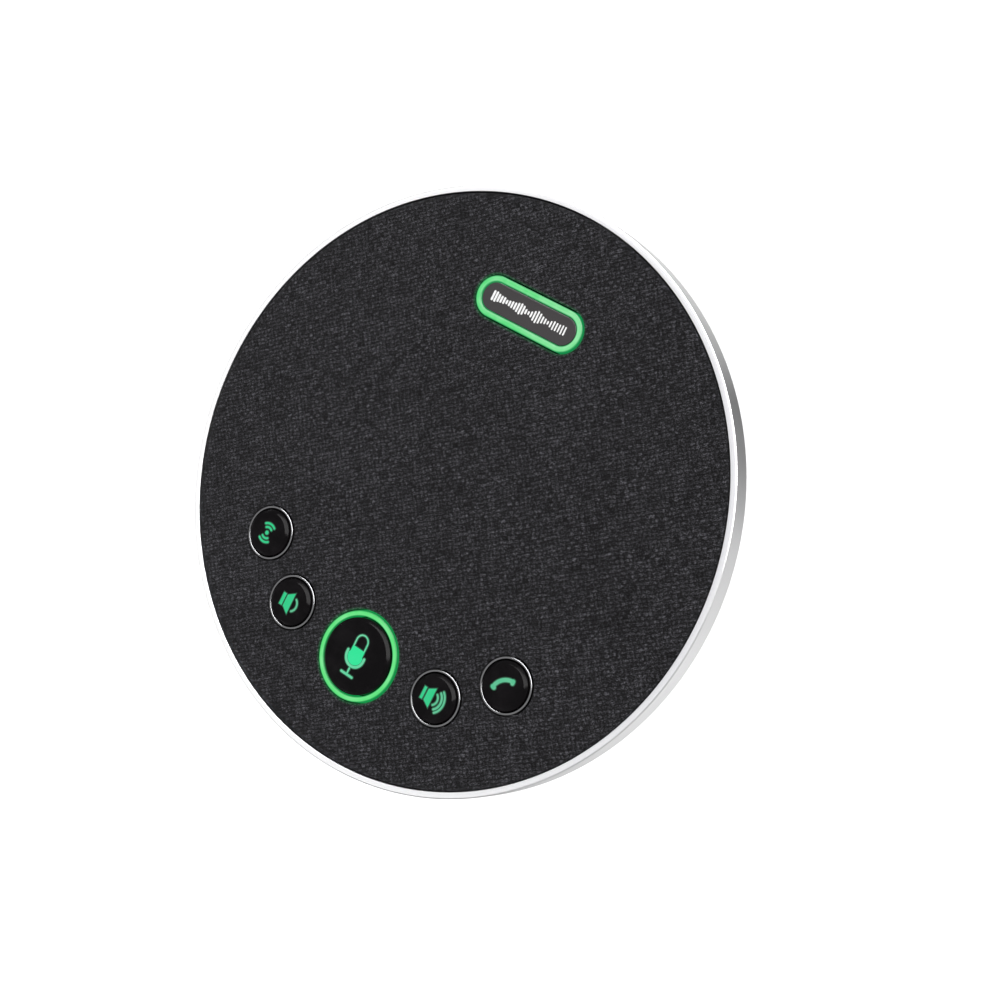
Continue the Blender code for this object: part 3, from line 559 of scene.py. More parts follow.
def dress(mesh, material):
    mesh.materials.clear()
    mesh.materials.append(material)


def add_piece(name, mesh, look, body=HOUSING, replaces=()):
    """A finished mesh as a piece that rides on a body."""
    dress(mesh, LOOKS[look] if isinstance(look, str) else look)
    for face in mesh.polygons:
        face.use_smooth = True
    mesh.set_sharp_from_angle(angle=CREASE)
    piece = add_object(name, mesh)
    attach(piece, body)
    if replaces:
        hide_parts(*replaces)
    return piece


def softened(profile, closed, steps=4):
    """Rounds the corners of a profile: a point's third value is its corner's radius."""
    points = []
    count = len(profile)
    for i, point in enumerate(profile):
        here = Vector(point[:2])
        if len(point) < 3 or not closed and i in (0, count - 1):
            points.append(tuple(here))
            continue
        before = Vector(profile[i - 1][:2]) - here
        after = Vector(profile[(i + 1) % count][:2]) - here
        reach = point[2] / tan(before.angle(after) / 2)
        reach = min(reach, before.length * 0.49, after.length * 0.49)
        start = here + before.normalized() * reach
        stop = here + after.normalized() * reach
        for step in range(steps + 1):
            share = step / steps
            bend = start * (1 - share) ** 2 + here * 2 * share * (1 - share) + stop * share**2
            points.append(tuple(bend))
    return points


def turned_mesh(name, profile, steps, place=(0.0, 0.0, 0.0), facing_rear=False, smooth=4):
    """A turned solid from (radius, height, corner radius) points, closed where it is a ring."""
    closed = profile[0][0] > 0
    points = softened(profile, closed, smooth)
    shape = bmesh.new()
    rings = []
    for radius, height in points:
        if radius < 0.001 * MM:
            rings.append([shape.verts.new((0.0, 0.0, height))] * steps)
        else:
            rings.append([shape.verts.new((*point, height)) for point in circle(radius, steps)])
    for upper, lower in zip(rings, rings[1:] + (rings[:1] if closed else [])):
        for step in range(steps):
            after = (step + 1) % steps
            corners = [upper[step], upper[after], lower[after], lower[step]]
            face = [corner for i, corner in enumerate(corners) if corner not in corners[:i]]
            if len(face) > 2:
                shape.faces.new(face)
    bmesh.ops.recalc_face_normals(shape, faces=shape.faces)
    return finished_mesh(name, shape, place, -90 if facing_rear else 0)


def turned(name, profile, look, body=HOUSING, steps=96, replaces=(), slot=None, **shape):
    return add_piece(name, turned_mesh(name, profile, steps, **shape), look, body, replaces)


def plate_mesh(name, outlines, low, high, edge=0.0, upright=False, steps=2, margin=0.0):
    """A plate that reaches margin beyond its outlines: its edge, and then its holes.

    A flat plate's outlines are in x and y, and an upright one's are in x and z.
    """
    curve = bpy.data.curves.new(name, "CURVE")
    curve.dimensions = "2D"
    curve.fill_mode = "BOTH"
    curve.extrude = (high - low) / 2 - edge
    curve.bevel_depth = edge
    curve.bevel_resolution = steps
    curve.offset = margin - edge
    for number, outline in enumerate(outlines):
        spline = curve.splines.new("POLY")
        spline.points.add(len(outline) - 1)
        ordered = outline if number == 0 else outline[::-1]
        for point, place in zip(spline.points, ordered):
            point.co = (*place, 0.0, 1.0)
        spline.use_cyclic_u = True
    source = add_object(name, curve)
    shape = bmesh.new()
    shape.from_mesh(evaluated_mesh(source))
    bpy.data.objects.remove(source)
    bmesh.ops.remove_doubles(shape, verts=shape.verts, dist=0.0005 * MM)
    bmesh.ops.recalc_face_normals(shape, faces=shape.faces)
    middle = (low + high) / 2
    if upright:
        return finished_mesh(name, shape, (0.0, middle, 0.0), 90)
    return finished_mesh(name, shape, (0.0, 0.0, middle))


def plate(name, outlines, low, high, look, edge=0.0, body=HOUSING, slot=None, replaces=(), **shape):
    mesh = plate_mesh(name, outlines, low, high, edge, **shape)
    piece = add_piece(name, mesh, look, body, replaces)
    even = piece.modifiers.new("Even_normals", "WEIGHTED_NORMAL")
    even.keep_sharp = True
    return piece


def joined_mesh(name, meshes):
    shape = bmesh.new()
    for mesh in meshes:
        shape.from_mesh(mesh)
    return finished_mesh(name, shape)


def box_mesh(name, low, high, bevel, segments=3):
    shape = bmesh.new()
    low, high = Vector(low), Vector(high)
    bmesh.ops.create_cube(shape, size=1.0)
    bmesh.ops.scale(shape, vec=high - low, verts=shape.verts)
    bmesh.ops.translate(shape, vec=(low + high) / 2, verts=shape.verts)
    edges = shape.edges[:]
    bmesh.ops.bevel(shape, geom=edges, offset=bevel, segments=segments, profile=0.5, affect="EDGES")
    return finished_mesh(name, shape)


def carved(name, mesh, steps):
    """A mesh after a list of (operation, other mesh) Booleans."""
    body = add_object(name, mesh)
    tools = []
    for operation, other in steps:
        tools.append(add_object(f"{name}_tool", other))
        step = body.modifiers.new("Step", "BOOLEAN")
        step.operation = operation
        step.object = tools[-1]
        step.solver = "EXACT"
    result = evaluated_mesh(body)
    for obj in [body, *tools]:
        bpy.data.objects.remove(obj)
    result.name = name
    return result


# ---- fabric, trim ring and badge ----


def fabric_cover():
    """The cloth that is stretched over the deck, with its edges turned down at each opening."""
    small, large, half = BEZEL_RADII[1] + GAP, MUTE_RADII[1] + GAP, BADGE_SIZE[1] / 2 + GAP
    outlines = [circle(COVER_RADIUS, 256)]
    outlines += [circle(small, 72, key_place(name)) for name in SMALL_KEYS]
    outlines += [circle(large, 96, MUTE_CENTRE), stadium(BADGE_SIZE, GAP, centre=BADGE_CENTRE)]
    edge = 0.22 * MM
    cover = plate(
        "woven_cover", outlines, COVER_BOTTOM, COVER_TOP, "grey_fabric", edge, replaces=["fabric_cover"]
    )
    area = pi * (COVER_RADIUS**2 - 4 * small**2 - large**2 - half**2)
    area -= 2 * half * (BADGE_SIZE[0] - BADGE_SIZE[1])


def trim_ring():
    """The satin ring round the rim, with a paler level lip whose tone is painted light."""
    inner = OUTER_RADIUS - RIM_WIDTH
    profile = [
        (OUTER_RADIUS, RIM_TOP, 0.5 * MM),
        (OUTER_RADIUS, RIM_BOTTOM, 0.3 * MM),
        (inner, RIM_BOTTOM, 0.1 * MM),
        (inner, RIM_TOP, 0.12 * MM),
    ]
    ring = turned("trim_ring", profile, "satin_aluminium", steps=288, replaces=["rim_ring"])
    ring.data.materials.append(LOOKS["lip_with_painted_light"])
    level = 0.97  # a face's upward share, above which it counts as the lip
    for face in ring.data.polygons:
        if face.normal.z > level:
            face.material_index = 1


def badge_bars():
    """A row of upright bars like the picture of a sound, thinner from left to right."""
    bars = []
    count = 27
    for number in range(count):
        share = number / (count - 1)
        x = BADGE_CENTRE[0] + (share - 0.5) * 18.6 * MM
        swing = abs(sin(11.0 * share + 0.9)) * (0.75 + 0.25 * cos(31.0 * share))
        height = (0.7 + 2.0 * swing) * MM
        width = (0.52 - 0.18 * share) * MM
        size = (width, max(height, width * 1.05))
        bars.append([stadium(size, centre=(x, BADGE_CENTRE[1] + 0.1 * MM), steps=4)])
    return bars


def badge():
    """A lit ring round a smoked window with a printed sign."""
    outer = BADGE_SIZE[1] / 2
    radii = (outer - BADGE_RING_WIDTH, outer)
    length = BADGE_SIZE[0] - BADGE_SIZE[1]
    # the badge's one pale spot is a painted highlight at its +x end
    light = light_guide(
        "badge_light", (0.10, 0.74, 0.21), (0.32, 0.84, 0.42), 0.95, BADGE_CENTRE, radii, length, 1
    )
    ring = [stadium(BADGE_SIZE, -inset, 24, BADGE_CENTRE) for inset in (0.0, BADGE_RING_WIDTH)]
    node = "badge_light_ring"
    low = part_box(node)[0].z
    plate("badge_ring", ring, low, RIM_TOP, light, 0.3 * MM, HOUSING, "green_light", [node], steps=3)
    window = [stadium(BADGE_SIZE, -BADGE_RING_WIDTH - 0.12 * MM, centre=BADGE_CENTRE)]
    node = "badge_window"
    low, top = (corner.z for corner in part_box(node))
    plate("badge_glass", window, low, top, "smoked_window", 0.12 * MM, replaces=[node])
    glyph("badge_bars", badge_bars(), top, "badge_print")


def glyph(name, shapes, top, look, body=HOUSING, proud=0.02 * MM, margin=0.0):
    """Thin inlays, each a list of outlines in x and y, let into the surface at height top."""
    low, high = top - 0.12 * MM, top + proud
    meshes = [plate_mesh(name, outlines, low, high, margin=margin) for outlines in shapes]
    add_piece(name, joined_mesh(name, meshes), look, body)


# ---- keys ----


def bezel(name, radii, place, look, slot, steps, replaced):
    """A thin collar round a key, on a wider foot."""
    inner, outer = radii
    low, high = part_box(replaced)
    lip_top = low.z + 0.8 * MM
    profile = [
        (outer, high.z, 0.2 * MM),
        (outer, lip_top),
        (high.x - place[0], lip_top, 0.1 * MM),
        (high.x - place[0], low.z, 0.1 * MM),
        (inner, low.z, 0.1 * MM),
        (inner, high.z, 0.2 * MM),
    ]
    turned(name, profile, look, HOUSING, steps, [replaced], slot, place=(*place, 0.0))


def key_cap(name, radius, steps):
    """A cap with a dished face inside a raised bevel, a flange and a stem."""
    node = f"{name}_key"
    low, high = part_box(node)
    x, y = key_place(name)
    top = high.z
    bevel = 0.68 * MM
    stem = 1.6 * MM
    stem_top = low.z + stem
    flange_top = stem_top + 0.8 * MM
    profile = [
        (0.0, top - 0.05 * MM),
        (radius - bevel - 1.4 * MM, top - 0.02 * MM),
        (radius - bevel, top, 0.08 * MM),
        (radius, top - bevel * 0.85, 0.15 * MM),
        (radius, flange_top),
        (high.x - x, flange_top, 0.1 * MM),
        (high.x - x, stem_top, 0.1 * MM),
        (stem, stem_top),
        (stem, low.z, 0.2 * MM),
        (0.0, low.z),
    ]
    turned(f"{name}_cap", profile, "gloss_black", node, steps, replaces=[node], place=(x, y, 0.0))


def millimetres(points, centre, turn=0.0):
    """Points given in millimetres about a centre, turned by an angle in degrees."""
    cosine, sine = cos(radians(turn)), sin(radians(turn))
    return [
        (centre[0] + (x * cosine - y * sine) * MM, centre[1] + (x * sine + y * cosine) * MM)
        for x, y in points
    ]


def microphone_icon():
    """A hollow grille above a solid bulb, in a cup on a stem and a base."""
    hoop = [(-1.46, 1.7), (-1.46, 2.5)] + arc(1.46, 180, 0, 20, (0.0, 3.28)) + [(1.46, 2.5), (1.46, 1.7)]
    bulb = [(1.64, 1.75), (-1.64, 1.75), (-1.64, 0.5), (-1.88, 0.1)]
    bulb += arc(1.88, 180, 360, 28, (0.0, -0.15)) + [(1.88, 0.1), (1.64, 0.5)]
    cup = [(-2.26, 0.35)] + arc(2.26, 180, 360, 28, (0.0, -0.15)) + [(2.26, 0.35)]
    stem = [(-0.2, -2.8), (-0.2, -4.3), (0.2, -4.3), (0.2, -2.8)]
    base = stroke([(-1.5, -4.4), (1.5, -4.4)], 0.52)
    return [[bulb]], [[stroke(hoop, 0.33)], [stroke(cup, 0.6)], [stem], [base]]


def speaker_icon(box, horn, waves, wave_centre):
    """A loudspeaker from the side, with arcs for its sound.

    Box and horn: left, right and half the height at each. Wave: radius, reach in degrees, width.
    """
    solid = [
        [[(left, -low), (right, -high), (right, high), (left, low)]]
        for left, right, low, high in (box, horn)
    ]
    centre = (wave_centre, 0.0)
    thin = [[stroke(arc(radius, -reach, reach, 20, centre), width)] for radius, reach, width in waves]
    return solid, thin


def handset_icon():
    """A telephone handset: an arched bar with a pad turned inwards at each end."""
    radius, reach = 3.75, 38
    centre = (0.0, 0.8 - radius)
    shapes = [[stroke(arc(radius, 90 + reach, 90 - reach, 24, centre), 0.84)]]
    for angle in (90 + reach, 90 - reach):
        pad = [polar(radius + 0.06, angle, centre), polar(radius - 0.3, angle, centre)]
        shapes.append([stroke(pad, 0.95)])
    return shapes


def pairing_icon():
    """A dot between two pairs of arcs."""
    shapes = [[circle(0.45, 24)]]
    for side in (90, 270):
        shapes += [[stroke(arc(radius, side - 38, side + 38, 18), 0.46)] for radius in (1.25, 2.1)]
    return shapes


def key_icons():
    """Each key's solid shapes and thin lines in millimetres, with their turn and their shift."""
    quiet = speaker_icon(
        (-2.25, -1.45, 1.4, 1.4), (-1.1, 0.62, 1.32, 2.45), [(1.72, 55, 0.42)], 0.42
    )
    loud = speaker_icon(
        (-2.85, -2.2, 1.35, 1.35), (-1.78, -0.15, 1.25, 2.2),
        [(1.5, 52, 0.42), (2.42, 50, 0.5), (3.1, 50, 0.46)], -0.33,
    )
    return {
        "mute": (*microphone_icon(), 0.0, (0.0, 0.05)),
        "volume_down": (*quiet, 0.0, (0.0, -0.15)),
        "volume_up": (*loud, 0.0, (0.0, 0.0)),
        "call": ([], handset_icon(), 41.0, (-0.3, 0.2)),
        "pairing": (pairing_icon(), [], 0.0, (-0.2, -0.2)),
    }


def keys():
    """Five caps in collars, each with a lit sign and its faint halo, a painted green glow, let into its
    face.
    """
    for name in SMALL_KEYS:
        bezel(f"{name}_collar", BEZEL_RADII, key_place(name), "chrome", "chrome", 96, f"{name}_bezel")
        key_cap(name, BEZEL_RADII[0] - GAP, 96)
    green = light_guide(
        "mute_light", (0.105, 0.86, 0.21), (0.25, 0.92, 0.36), 0.87, MUTE_CENTRE, MUTE_RADII, pale_spots=5
    )
    bezel("mute_halo", MUTE_RADII, MUTE_CENTRE, green, "green_light", 144, "mute_light_ring")
    key_cap("mute", MUTE_RADII[0] - GAP, 144)

    large = (
        lit("large_icon", ICON_GREEN, (0.02, 0.86, 0.36), 0.86),
        lit("large_line", ICON_PALE, LINE_PALE, 0.8),
    )
    small = (
        lit("small_icon", ICON_GREEN, (0.05, 0.86, 0.40), 0.66),
        lit("small_line", ICON_PALE, LINE_PALE, 0.64),
    )
    # painted light: a faint green glow round each sign, on the cap's black face
    halo = lit("icon_halo", (0.001, 0.06, 0.025), (0.001, 0.045, 0.02), 1.0)
    for name, (solid, thin, turn, shift) in key_icons().items():
        body = f"{name}_key"
        x, y = key_place(name)
        centre = (x + shift[0] * MM, y + shift[1] * MM)
        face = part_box(body)[1].z - 0.03 * MM
        bright, pale = large if name == "mute" else small
        for part, shapes, light in (("solid", solid, bright), ("line", thin, pale)):
            if shapes:
                placed = [[millimetres(outline, centre, turn) for outline in shape] for shape in shapes]
                glyph(f"{name}_icon_{part}", placed, face, light, body, 0.05 * MM)
                glyph(f"{name}_halo_{part}", placed, face, halo, body, 0.035 * MM, 0.2 * MM)


# ---- base, foot and ports ----


def shell_radius(z):
    """The bowl's outer radius at a height."""
    depth = (SHELL_TOP - z) / (SHELL_TOP - SHELL_BOTTOM)
    return FLOOR_RADIUS + (SHELL_RADIUS - FLOOR_RADIUS) * (1 - depth**1.5)


def shell_side(steps):
    """The bowl's outer profile, from its top to its floor."""
    low = SHELL_BOTTOM + FLOOR_EDGE
    heights = [SHELL_TOP + (low - SHELL_TOP) * i / steps for i in range(steps + 1)]
    side = [(shell_radius(z), z) for z in heights[:-1]]
    return side + [(shell_radius(low), low, 0.4 * MM), (FLOOR_RADIUS - FLOOR_EDGE, SHELL_BOTTOM, 0.5 * MM)]


def cylinder(name, place, radius, low, high, steps=48):
    """An upright cylinder, with its place as a distance from the middle and an angle in degrees."""
    profile = [(0.0, high), (radius, high), (radius, low), (0.0, low)]
    return turned_mesh(name, profile, steps, (*polar(*place), 0.0))


def base_shell():
    """The bowl with its posts, a shallow round step in its floor, and the window for the ports."""
    floor_top = SHELL_BOTTOM + SHELL_WALL
    inside = [(0.0, floor_top), (FLOOR_RADIUS - 3 * MM, floor_top, 1.0 * MM)]
    for i in range(1, 9):
        z = floor_top + (SHELL_TOP - floor_top) * i / 8
        inside.append((shell_radius(z) - 2.0 * MM - (0.5 * MM if i == 8 else 0.0), z))
    spigot = [
        (COVER_RADIUS - 1.4 * MM, SPIGOT_TOP, 0.2 * MM),
        (COVER_RADIUS, SPIGOT_TOP, 0.2 * MM),
        (COVER_RADIUS, SHELL_TOP),
    ]
    step_top = SHELL_BOTTOM + 0.4 * MM
    step = [(30.5 * MM, SHELL_BOTTOM, 0.3 * MM), (30.0 * MM, step_top, 0.3 * MM), (0.0, step_top)]
    bowl = turned_mesh("bowl", inside + spigot + shell_side(20) + step, 192, smooth=3)
    below = SHELL_BOTTOM - 1 * MM
    root = floor_top - 0.9 * MM
    steps = []
    for place in SCREW_PLACES:
        steps.append(("UNION", cylinder("post", place, SCREW_POST_RADIUS, root, SCREW_POST_TOP)))
    for board, posts in BOARD_POSTS.items():
        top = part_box(board)[0].z - GAP
        for place in posts:
            steps.append(("UNION", cylinder("post", place, BOARD_POST_RADIUS, root, top, 32)))
    for place in SCREW_PLACES:
        bore = cylinder("bore", place, SCREW_BORE_RADIUS, below, SCREW_POST_TOP + 1 * MM, 24)
        head = cylinder("bore", place, SCREW_HEAD_RADIUS, below, SCREW_HEAD_TOP, 40)
        steps += [("DIFFERENCE", bore), ("DIFFERENCE", head)]
    window = rounded(PORT_WINDOW, PORT_CORNER, 12, (0.0, PORT_Z))
    steps.append(("DIFFERENCE", plate_mesh("window", [window], 40 * MM, 70 * MM, upright=True)))
    add_piece("bowl", carved("bowl", bowl, steps), "grey_shell", replaces=["base_shell"])


def foot_ring():
    """A soft ring with fine ribs on the face that grips the table."""
    edge = 0.5 * MM
    border = 1.6 * MM
    pitch = 1.1 * MM
    depth = 0.18 * MM
    half_width = 0.25 * MM
    profile = [(FOOT_RADIUS, FOOT_TOP, 0.1 * MM), (FOOT_RADIUS, 0.0, edge)]
    radius = FOOT_RADIUS - border
    while radius > FOOT_INNER + border:
        profile += [(radius, 0.0), (radius - half_width, depth), (radius - 2 * half_width, 0.0)]
        radius -= pitch
    profile += [(FOOT_INNER, 0.0, edge), (FOOT_INNER, FOOT_TOP, 0.1 * MM)]
    turned("foot", profile, "dark_rubber", steps=144, replaces=["foot_ring"])


def port_panel():
    """The recessed rear panel, flush with the bowl round its pocket."""
    outline = rounded([side - 2 * GAP for side in PORT_WINDOW], PORT_CORNER - GAP, 12, (0.0, PORT_Z))
    panel = plate_mesh("panel", [outline], PORT_BACK, 66 * MM, upright=True)
    envelope = [(0.0, SHELL_TOP)] + shell_side(20) + [(0.0, SHELL_BOTTOM)]
    steps = [("INTERSECT", turned_mesh("envelope", envelope, 192, smooth=3))]
    pocket = rounded(PORT_POCKET, PORT_CORNER - 1.5 * MM, 10, (0.0, PORT_Z))
    steps.append(("DIFFERENCE", plate_mesh("pocket", [pocket], PORT_FACE, 70 * MM, upright=True)))
    openings = [
        stadium(USB_SIZE, GAP, 12, (USB_X, PORT_Z)),
        circle(JACK_RADIUS + GAP, 48, (0.0, PORT_Z)),
        circle(POWER_RADIUS + GAP, 48, (POWER_X, PORT_Z)),
    ]
    for opening in openings:
        tool = plate_mesh("opening", [opening], PORT_BACK - 1 * MM, PORT_FACE + 1 * MM, upright=True)
        steps.append(("DIFFERENCE", tool))
    mesh = carved("rear_panel", panel, steps)
    piece = add_piece("rear_panel", mesh, "black_plastic", replaces=["port_panel"])
    edges = piece.modifiers.new("Edges", "BEVEL")
    edges.width = 0.15 * MM
    edges.segments = 2
    edges.limit_method = "ANGLE"
    edges.angle_limit = radians(50)
    edges.harden_normals = True


def usb_port():
    """A rolled metal shell with a lip, and a tongue with contacts on both faces."""
    low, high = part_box("usb_c_receptacle")
    centre = (USB_X, PORT_Z)
    edge = 0.1 * MM
    outer = stadium(USB_SIZE, centre=centre)
    inner = stadium(USB_SIZE, -0.32 * MM, centre=centre)
    tube = plate_mesh("usb_tube", [outer, inner], low.y + 1.0 * MM, high.y, edge, upright=True)
    back = plate_mesh("usb_back", [outer], low.y, low.y + 1.05 * MM, edge, upright=True)
    foot_low = (USB_X - 3.2 * MM, low.y + 0.1 * MM, low.z)
    foot_high = (USB_X + 3.2 * MM, PORT_BACK - 3 * MM, PORT_Z - USB_SIZE[1] / 2 + 0.2 * MM)
    foot = box_mesh("usb_foot", foot_low, foot_high, edge)
    shell = joined_mesh("usb_shell", [tube, back, foot])
    add_piece("usb_shell", shell, "steel", replaces=["usb_c_receptacle"])
    half_width, half_height = 3.35 * MM, 0.35 * MM
    tongue_low = (USB_X - half_width, low.y + 0.8 * MM, PORT_Z - half_height)
    tongue_high = (USB_X + half_width, high.y - 1.2 * MM, PORT_Z + half_height)
    tongue = box_mesh("usb_tongue", tongue_low, tongue_high, 0.12 * MM)
    add_piece("usb_tongue", tongue, "black_plastic")
    pads = []
    for number in range(12):
        x = USB_X + (number - 5.5) * 0.5 * MM
        for side in (-1, 1):
            z = PORT_Z + side * half_height
            pad_low = (x - 0.13 * MM, high.y - 4.6 * MM, z - 0.03 * MM)
            pad_high = (x + 0.13 * MM, high.y - 1.5 * MM, z + 0.03 * MM)
            pads.append(box_mesh("pad", pad_low, pad_high, 0.01 * MM, 1))
    add_piece("usb_contacts", joined_mesh("usb_contacts", pads), "gold_contact")


def headset_jack():
    """A moulded body with a round nose, and a metal sleeve inside its bore."""
    low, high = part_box("audio_jack")
    root = PORT_BACK - 2 * MM
    tip = high.y - root
    profile = [
        (JACK_RADIUS, 0.0),
        (JACK_RADIUS, tip, 0.25 * MM),
        (JACK_BORE + 0.35 * MM, tip, 0.15 * MM),
        (JACK_BORE, tip - 0.4 * MM, 0.1 * MM),
        (JACK_BORE, 0.0),
    ]
    nose = turned_mesh("jack_nose", profile, 72, (0.0, root, PORT_Z), True)
    block = box_mesh("jack_body", low, (high.x, PORT_BACK - GAP, high.z), 0.25 * MM)
    profile = [(0.0, 0.0), (JACK_BORE, 0.0), (JACK_BORE, 14 * MM), (0.0, 14 * MM)]
    bore = turned_mesh("jack_bore", profile, 48, (0.0, 33 * MM, PORT_Z), True)
    body = joined_mesh("jack_body", [carved("jack_body", block, [("DIFFERENCE", bore)]), nose])
    add_piece("jack_body", body, "black_plastic", replaces=["audio_jack"])
    outer, inner = JACK_BORE - 0.02 * MM, JACK_BORE - 0.25 * MM
    sleeve = [(outer, 0.0), (outer, 10 * MM), (inner, 10.1 * MM, 0.1 * MM), (inner, 0.0)]
    turned("jack_sleeve", sleeve, "steel", steps=48, place=(0.0, 35 * MM, PORT_Z), facing_rear=True)


def power_button():
    """The button, with the usual stroke-in-a-ring sign let into its face."""
    low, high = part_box("power_button")
    back, tip = low.y - PORT_BACK, high.y - PORT_BACK
    flange_radius = POWER_RADIUS + 0.8 * MM
    profile = [
        (0.0, tip - 0.06 * MM),
        (POWER_RADIUS - 0.6 * MM, tip, 0.2 * MM),
        (POWER_RADIUS, tip - 0.35 * MM, 0.2 * MM),
        (POWER_RADIUS, -GAP),
        (flange_radius, -GAP, 0.1 * MM),
        (flange_radius, back, 0.1 * MM),
        (0.0, back),
    ]
    turned(
        "power_cap", profile, "gloss_black", "power_button", 72, ["power_button"],
        place=(POWER_X, PORT_BACK, PORT_Z), facing_rear=True,
    )
    width = 0.2 * MM
    ring = stroke(arc(0.85 * MM, 90 + 40, 450 - 40, 32, (POWER_X, PORT_Z)), width)
    bar = stroke([(POWER_X, PORT_Z + 0.25 * MM), (POWER_X, PORT_Z + 1.1 * MM)], width)
    low_face, high_face = high.y - 0.13 * MM, high.y - 0.01 * MM
    meshes = [plate_mesh("sign", [line], low_face, high_face, upright=True) for line in (ring, bar)]
    add_piece("power_sign", joined_mesh("power_sign", meshes), "badge_print", "power_button")


# ---- what the CAD model already shapes well ----


def four(name):
    return [f"{name}_{number}" for number in range(1, 5)]


CARRIED_OVER = {
    "black_plastic": ["top_deck", "audio_chip"],
    "board_green": ["key_board", "main_board", "badge_light_board", "radio_module", *four("mic_board")],
    "steel": ["speaker_basket", "speaker_top_plate", "speaker_yoke", *four("base_screw")],
    "foam": ["speaker_gasket"],
    "dark_rubber": ["speaker_surround", *four("mic_boot")],
    "cone_paper": ["speaker_cone", "speaker_dust_cap"],
    "copper_coil": ["speaker_voice_coil"],
    "ferrite": ["speaker_magnet"],
    "red_wire": ["speaker_lead_red", "battery_lead"],
    "black_wire": ["speaker_lead_black"],
    "battery_wrap": ["battery_pack"],
    "flex_amber": ["key_flex_cable"],
    "switch_plastic": ["battery_socket"] + [f"{name}_switch" for name in ["power", "mute", *SMALL_KEYS]],
}


def carry_over():
    """Gives the CAD nodes that stay their materials."""
    for look, names in CARRIED_OVER.items():
        for name in names:
            dress(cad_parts[name].data, LOOKS[look])


# ---- floor, light and camera ----

PAPER_RADIUS = 7.0
FLOOR_DROP = 0.05 * MM  # below the foot ring, so that the two faces don't share a plane


def floor():
    """A wide white floor that glows a little, as a sheet of lit paper does."""
    look = Look("white_floor", (0.93, 0.93, 0.93), 0.75, Emission_Strength=0.5)
    look.paint(look.noise(8, 2), (0.92, 0.92, 0.92), (0.94, 0.94, 0.94))
    look.set("Emission Color", (1.0, 1.0, 1.0, 1.0))
    shape = bmesh.new()
    bmesh.ops.create_circle(shape, cap_ends=True, segments=96, radius=PAPER_RADIUS)
    mesh = finished_mesh("floor", shape)
    mesh.materials.append(look.material)
    obj = add_object("floor", mesh)
    obj.location.z = -FLOOR_DROP


def softbox(name, azimuth, elevation, distance, size, power, mirrored=False):
    """An area light that faces the object, with an azimuth from +X towards +Y.

    A mirrored one shows only as a reflection, and the others show as none.
    """
    light = bpy.data.lights.new(name, "AREA")
    light.shape = "RECTANGLE"
    light.size, light.size_y = size
    light.energy = power
    obj = add_object(name, light)
    a, e = radians(azimuth), radians(elevation)
    way = Vector((cos(a) * cos(e), sin(a) * cos(e), sin(e)))
    obj.location = Vector((0.0, 0.0, COVER_TOP)) + way * distance
    obj.rotation_euler = way.to_track_quat("Z", "Y").to_euler()
    obj.visible_glossy = mirrored
    obj.visible_diffuse = not mirrored


CARD_RADII = (1500 * MM, 50 * MM)
CARD_HEIGHT = 0.4 * MM
CARD_THICKNESS = 0.2 * MM
CARD_TONES = [  # degrees from +X towards +Y, and the brightness that the trim ring mirrors there
    (-180, 0.70), (-140, 0.80), (-105, 0.60), (-85, 0.42), (-55, 0.60), (-35, 0.78),
    (-12, 0.88), (8, 0.72), (18, 0.63), (27, 0.38), (34, 0.22), (49, 0.18),
    (57, 0.37), (66, 0.50), (80, 0.68), (120, 0.85), (180, 0.70),
]


def shade_card():
    """A ring of card lying on the floor, shaded round its length, that only mirror-like surfaces see."""
    look = Look("shade_card", (0.0, 0.0, 0.0), 1.0, Specular_IOR_Level=0.0, Emission_Strength=1.0)
    x, y, _ = look.parts(look.place)
    angle = look.times(look.calc("ARCTAN2", y, x), 180 / pi)
    ramp = look.nodes.new("ShaderNodeValToRGB")
    start, end = -180.0, 180.0
    look.feed(ramp.inputs[0], look.share(angle, start, end))
    stops = ramp.color_ramp.elements
    for number, (azimuth, tone) in enumerate(CARD_TONES):
        stop = stops[number] if number < len(stops) else stops.new(1.0)
        stop.position = (azimuth - start) / (end - start)
        stop.color = (tone, tone, tone, 1.0)
    look.set("Emission Color", ramp.outputs[0])
    rings = [circle(radius, 128) for radius in CARD_RADII]
    mesh = plate_mesh("card", rings, CARD_HEIGHT - CARD_THICKNESS, CARD_HEIGHT)
    mesh.materials.append(look.material)
    card = add_object("shade_card", mesh)
    card.visible_camera = card.visible_diffuse = False
    card.visible_transmission = card.visible_shadow = False


WORLD_LIGHT = 0.42  # its brightness as a light
WORLD_SEEN = 0.95  # and as the camera sees it, past the floor's edge


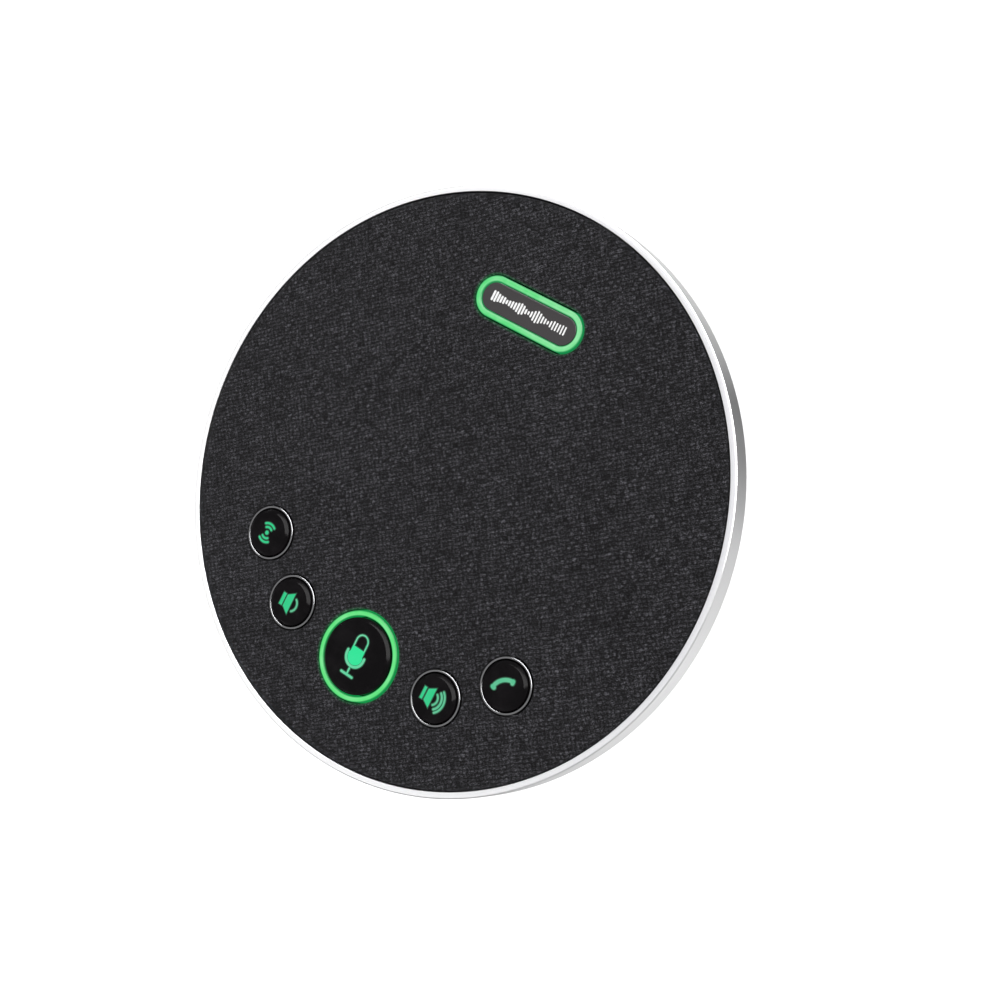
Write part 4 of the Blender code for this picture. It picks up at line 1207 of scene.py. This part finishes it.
def studio():
    """An even white surround with four lights and the card."""
    world = bpy.data.worlds.new("studio")
    world.use_nodes = True
    nodes, links = world.node_tree.nodes, world.node_tree.links
    background = nodes["Background"]
    background.inputs["Color"].default_value = (1.0, 1.0, 1.0, 1.0)
    path = nodes.new("ShaderNodeLightPath")
    strength = nodes.new("ShaderNodeMapRange")
    strength.inputs["To Min"].default_value = WORLD_LIGHT
    strength.inputs["To Max"].default_value = WORLD_SEEN
    links.new(path.outputs["Is Camera Ray"], strength.inputs["Value"])
    links.new(strength.outputs[0], background.inputs["Strength"])
    bpy.context.scene.world = world
    softbox("rear_softbox", 72, 25, 1.3, (2.2, 0.3), 12.0)
    softbox("glint_softbox", 79, 46, 1.3, (2.4, 0.7), 56.0, mirrored=True)
    softbox("front_softbox", 250, 40, 1.4, (0.9, 0.9), 9.0)
    softbox("side_softbox", -25, 62, 1.4, (0.8, 0.8), 7.0)
    shade_card()


CAMERA_LENS = 56.88  # mm, on a sensor 36 mm wide
CAMERA_AZIMUTH = 105.47  # degrees from -Y towards +X, as the next two are degrees
CAMERA_ELEVATION = 62.27
CAMERA_ROLL = -77.06
CAMERA_DISTANCE = 328.2 * MM
CAMERA_AIM = Vector((10.51 * MM, 2.87 * MM, COVER_TOP - 5.73 * MM))


def camera():
    """A camera that looks down at the deck, turned about its line of sight."""
    data = bpy.data.cameras.new("camera")
    data.sensor_width = 36.0
    data.lens = CAMERA_LENS
    data.clip_start = 0.01
    obj = add_object("camera", data)
    a, e, roll = (radians(angle) for angle in (CAMERA_AZIMUTH, CAMERA_ELEVATION, CAMERA_ROLL))
    back = Vector((sin(a) * cos(e), -cos(a) * cos(e), sin(e)))
    level = Vector((cos(a), sin(a), 0.0))
    right = level * cos(roll) + back.cross(level) * sin(roll)
    axes = Matrix((right, back.cross(right), back)).transposed().to_4x4()
    obj.matrix_world = Matrix.Translation(CAMERA_AIM + back * CAMERA_DISTANCE) @ axes
    bpy.context.scene.camera = obj


fabric_cover()
trim_ring()
badge()
keys()
base_shell()
foot_ring()
port_panel()
usb_port()
headset_jack()
power_button()
carry_over()
floor()
studio()
camera()
bpy.context.scene.view_settings.view_transform = "Standard"
bpy.context.view_layer.update()
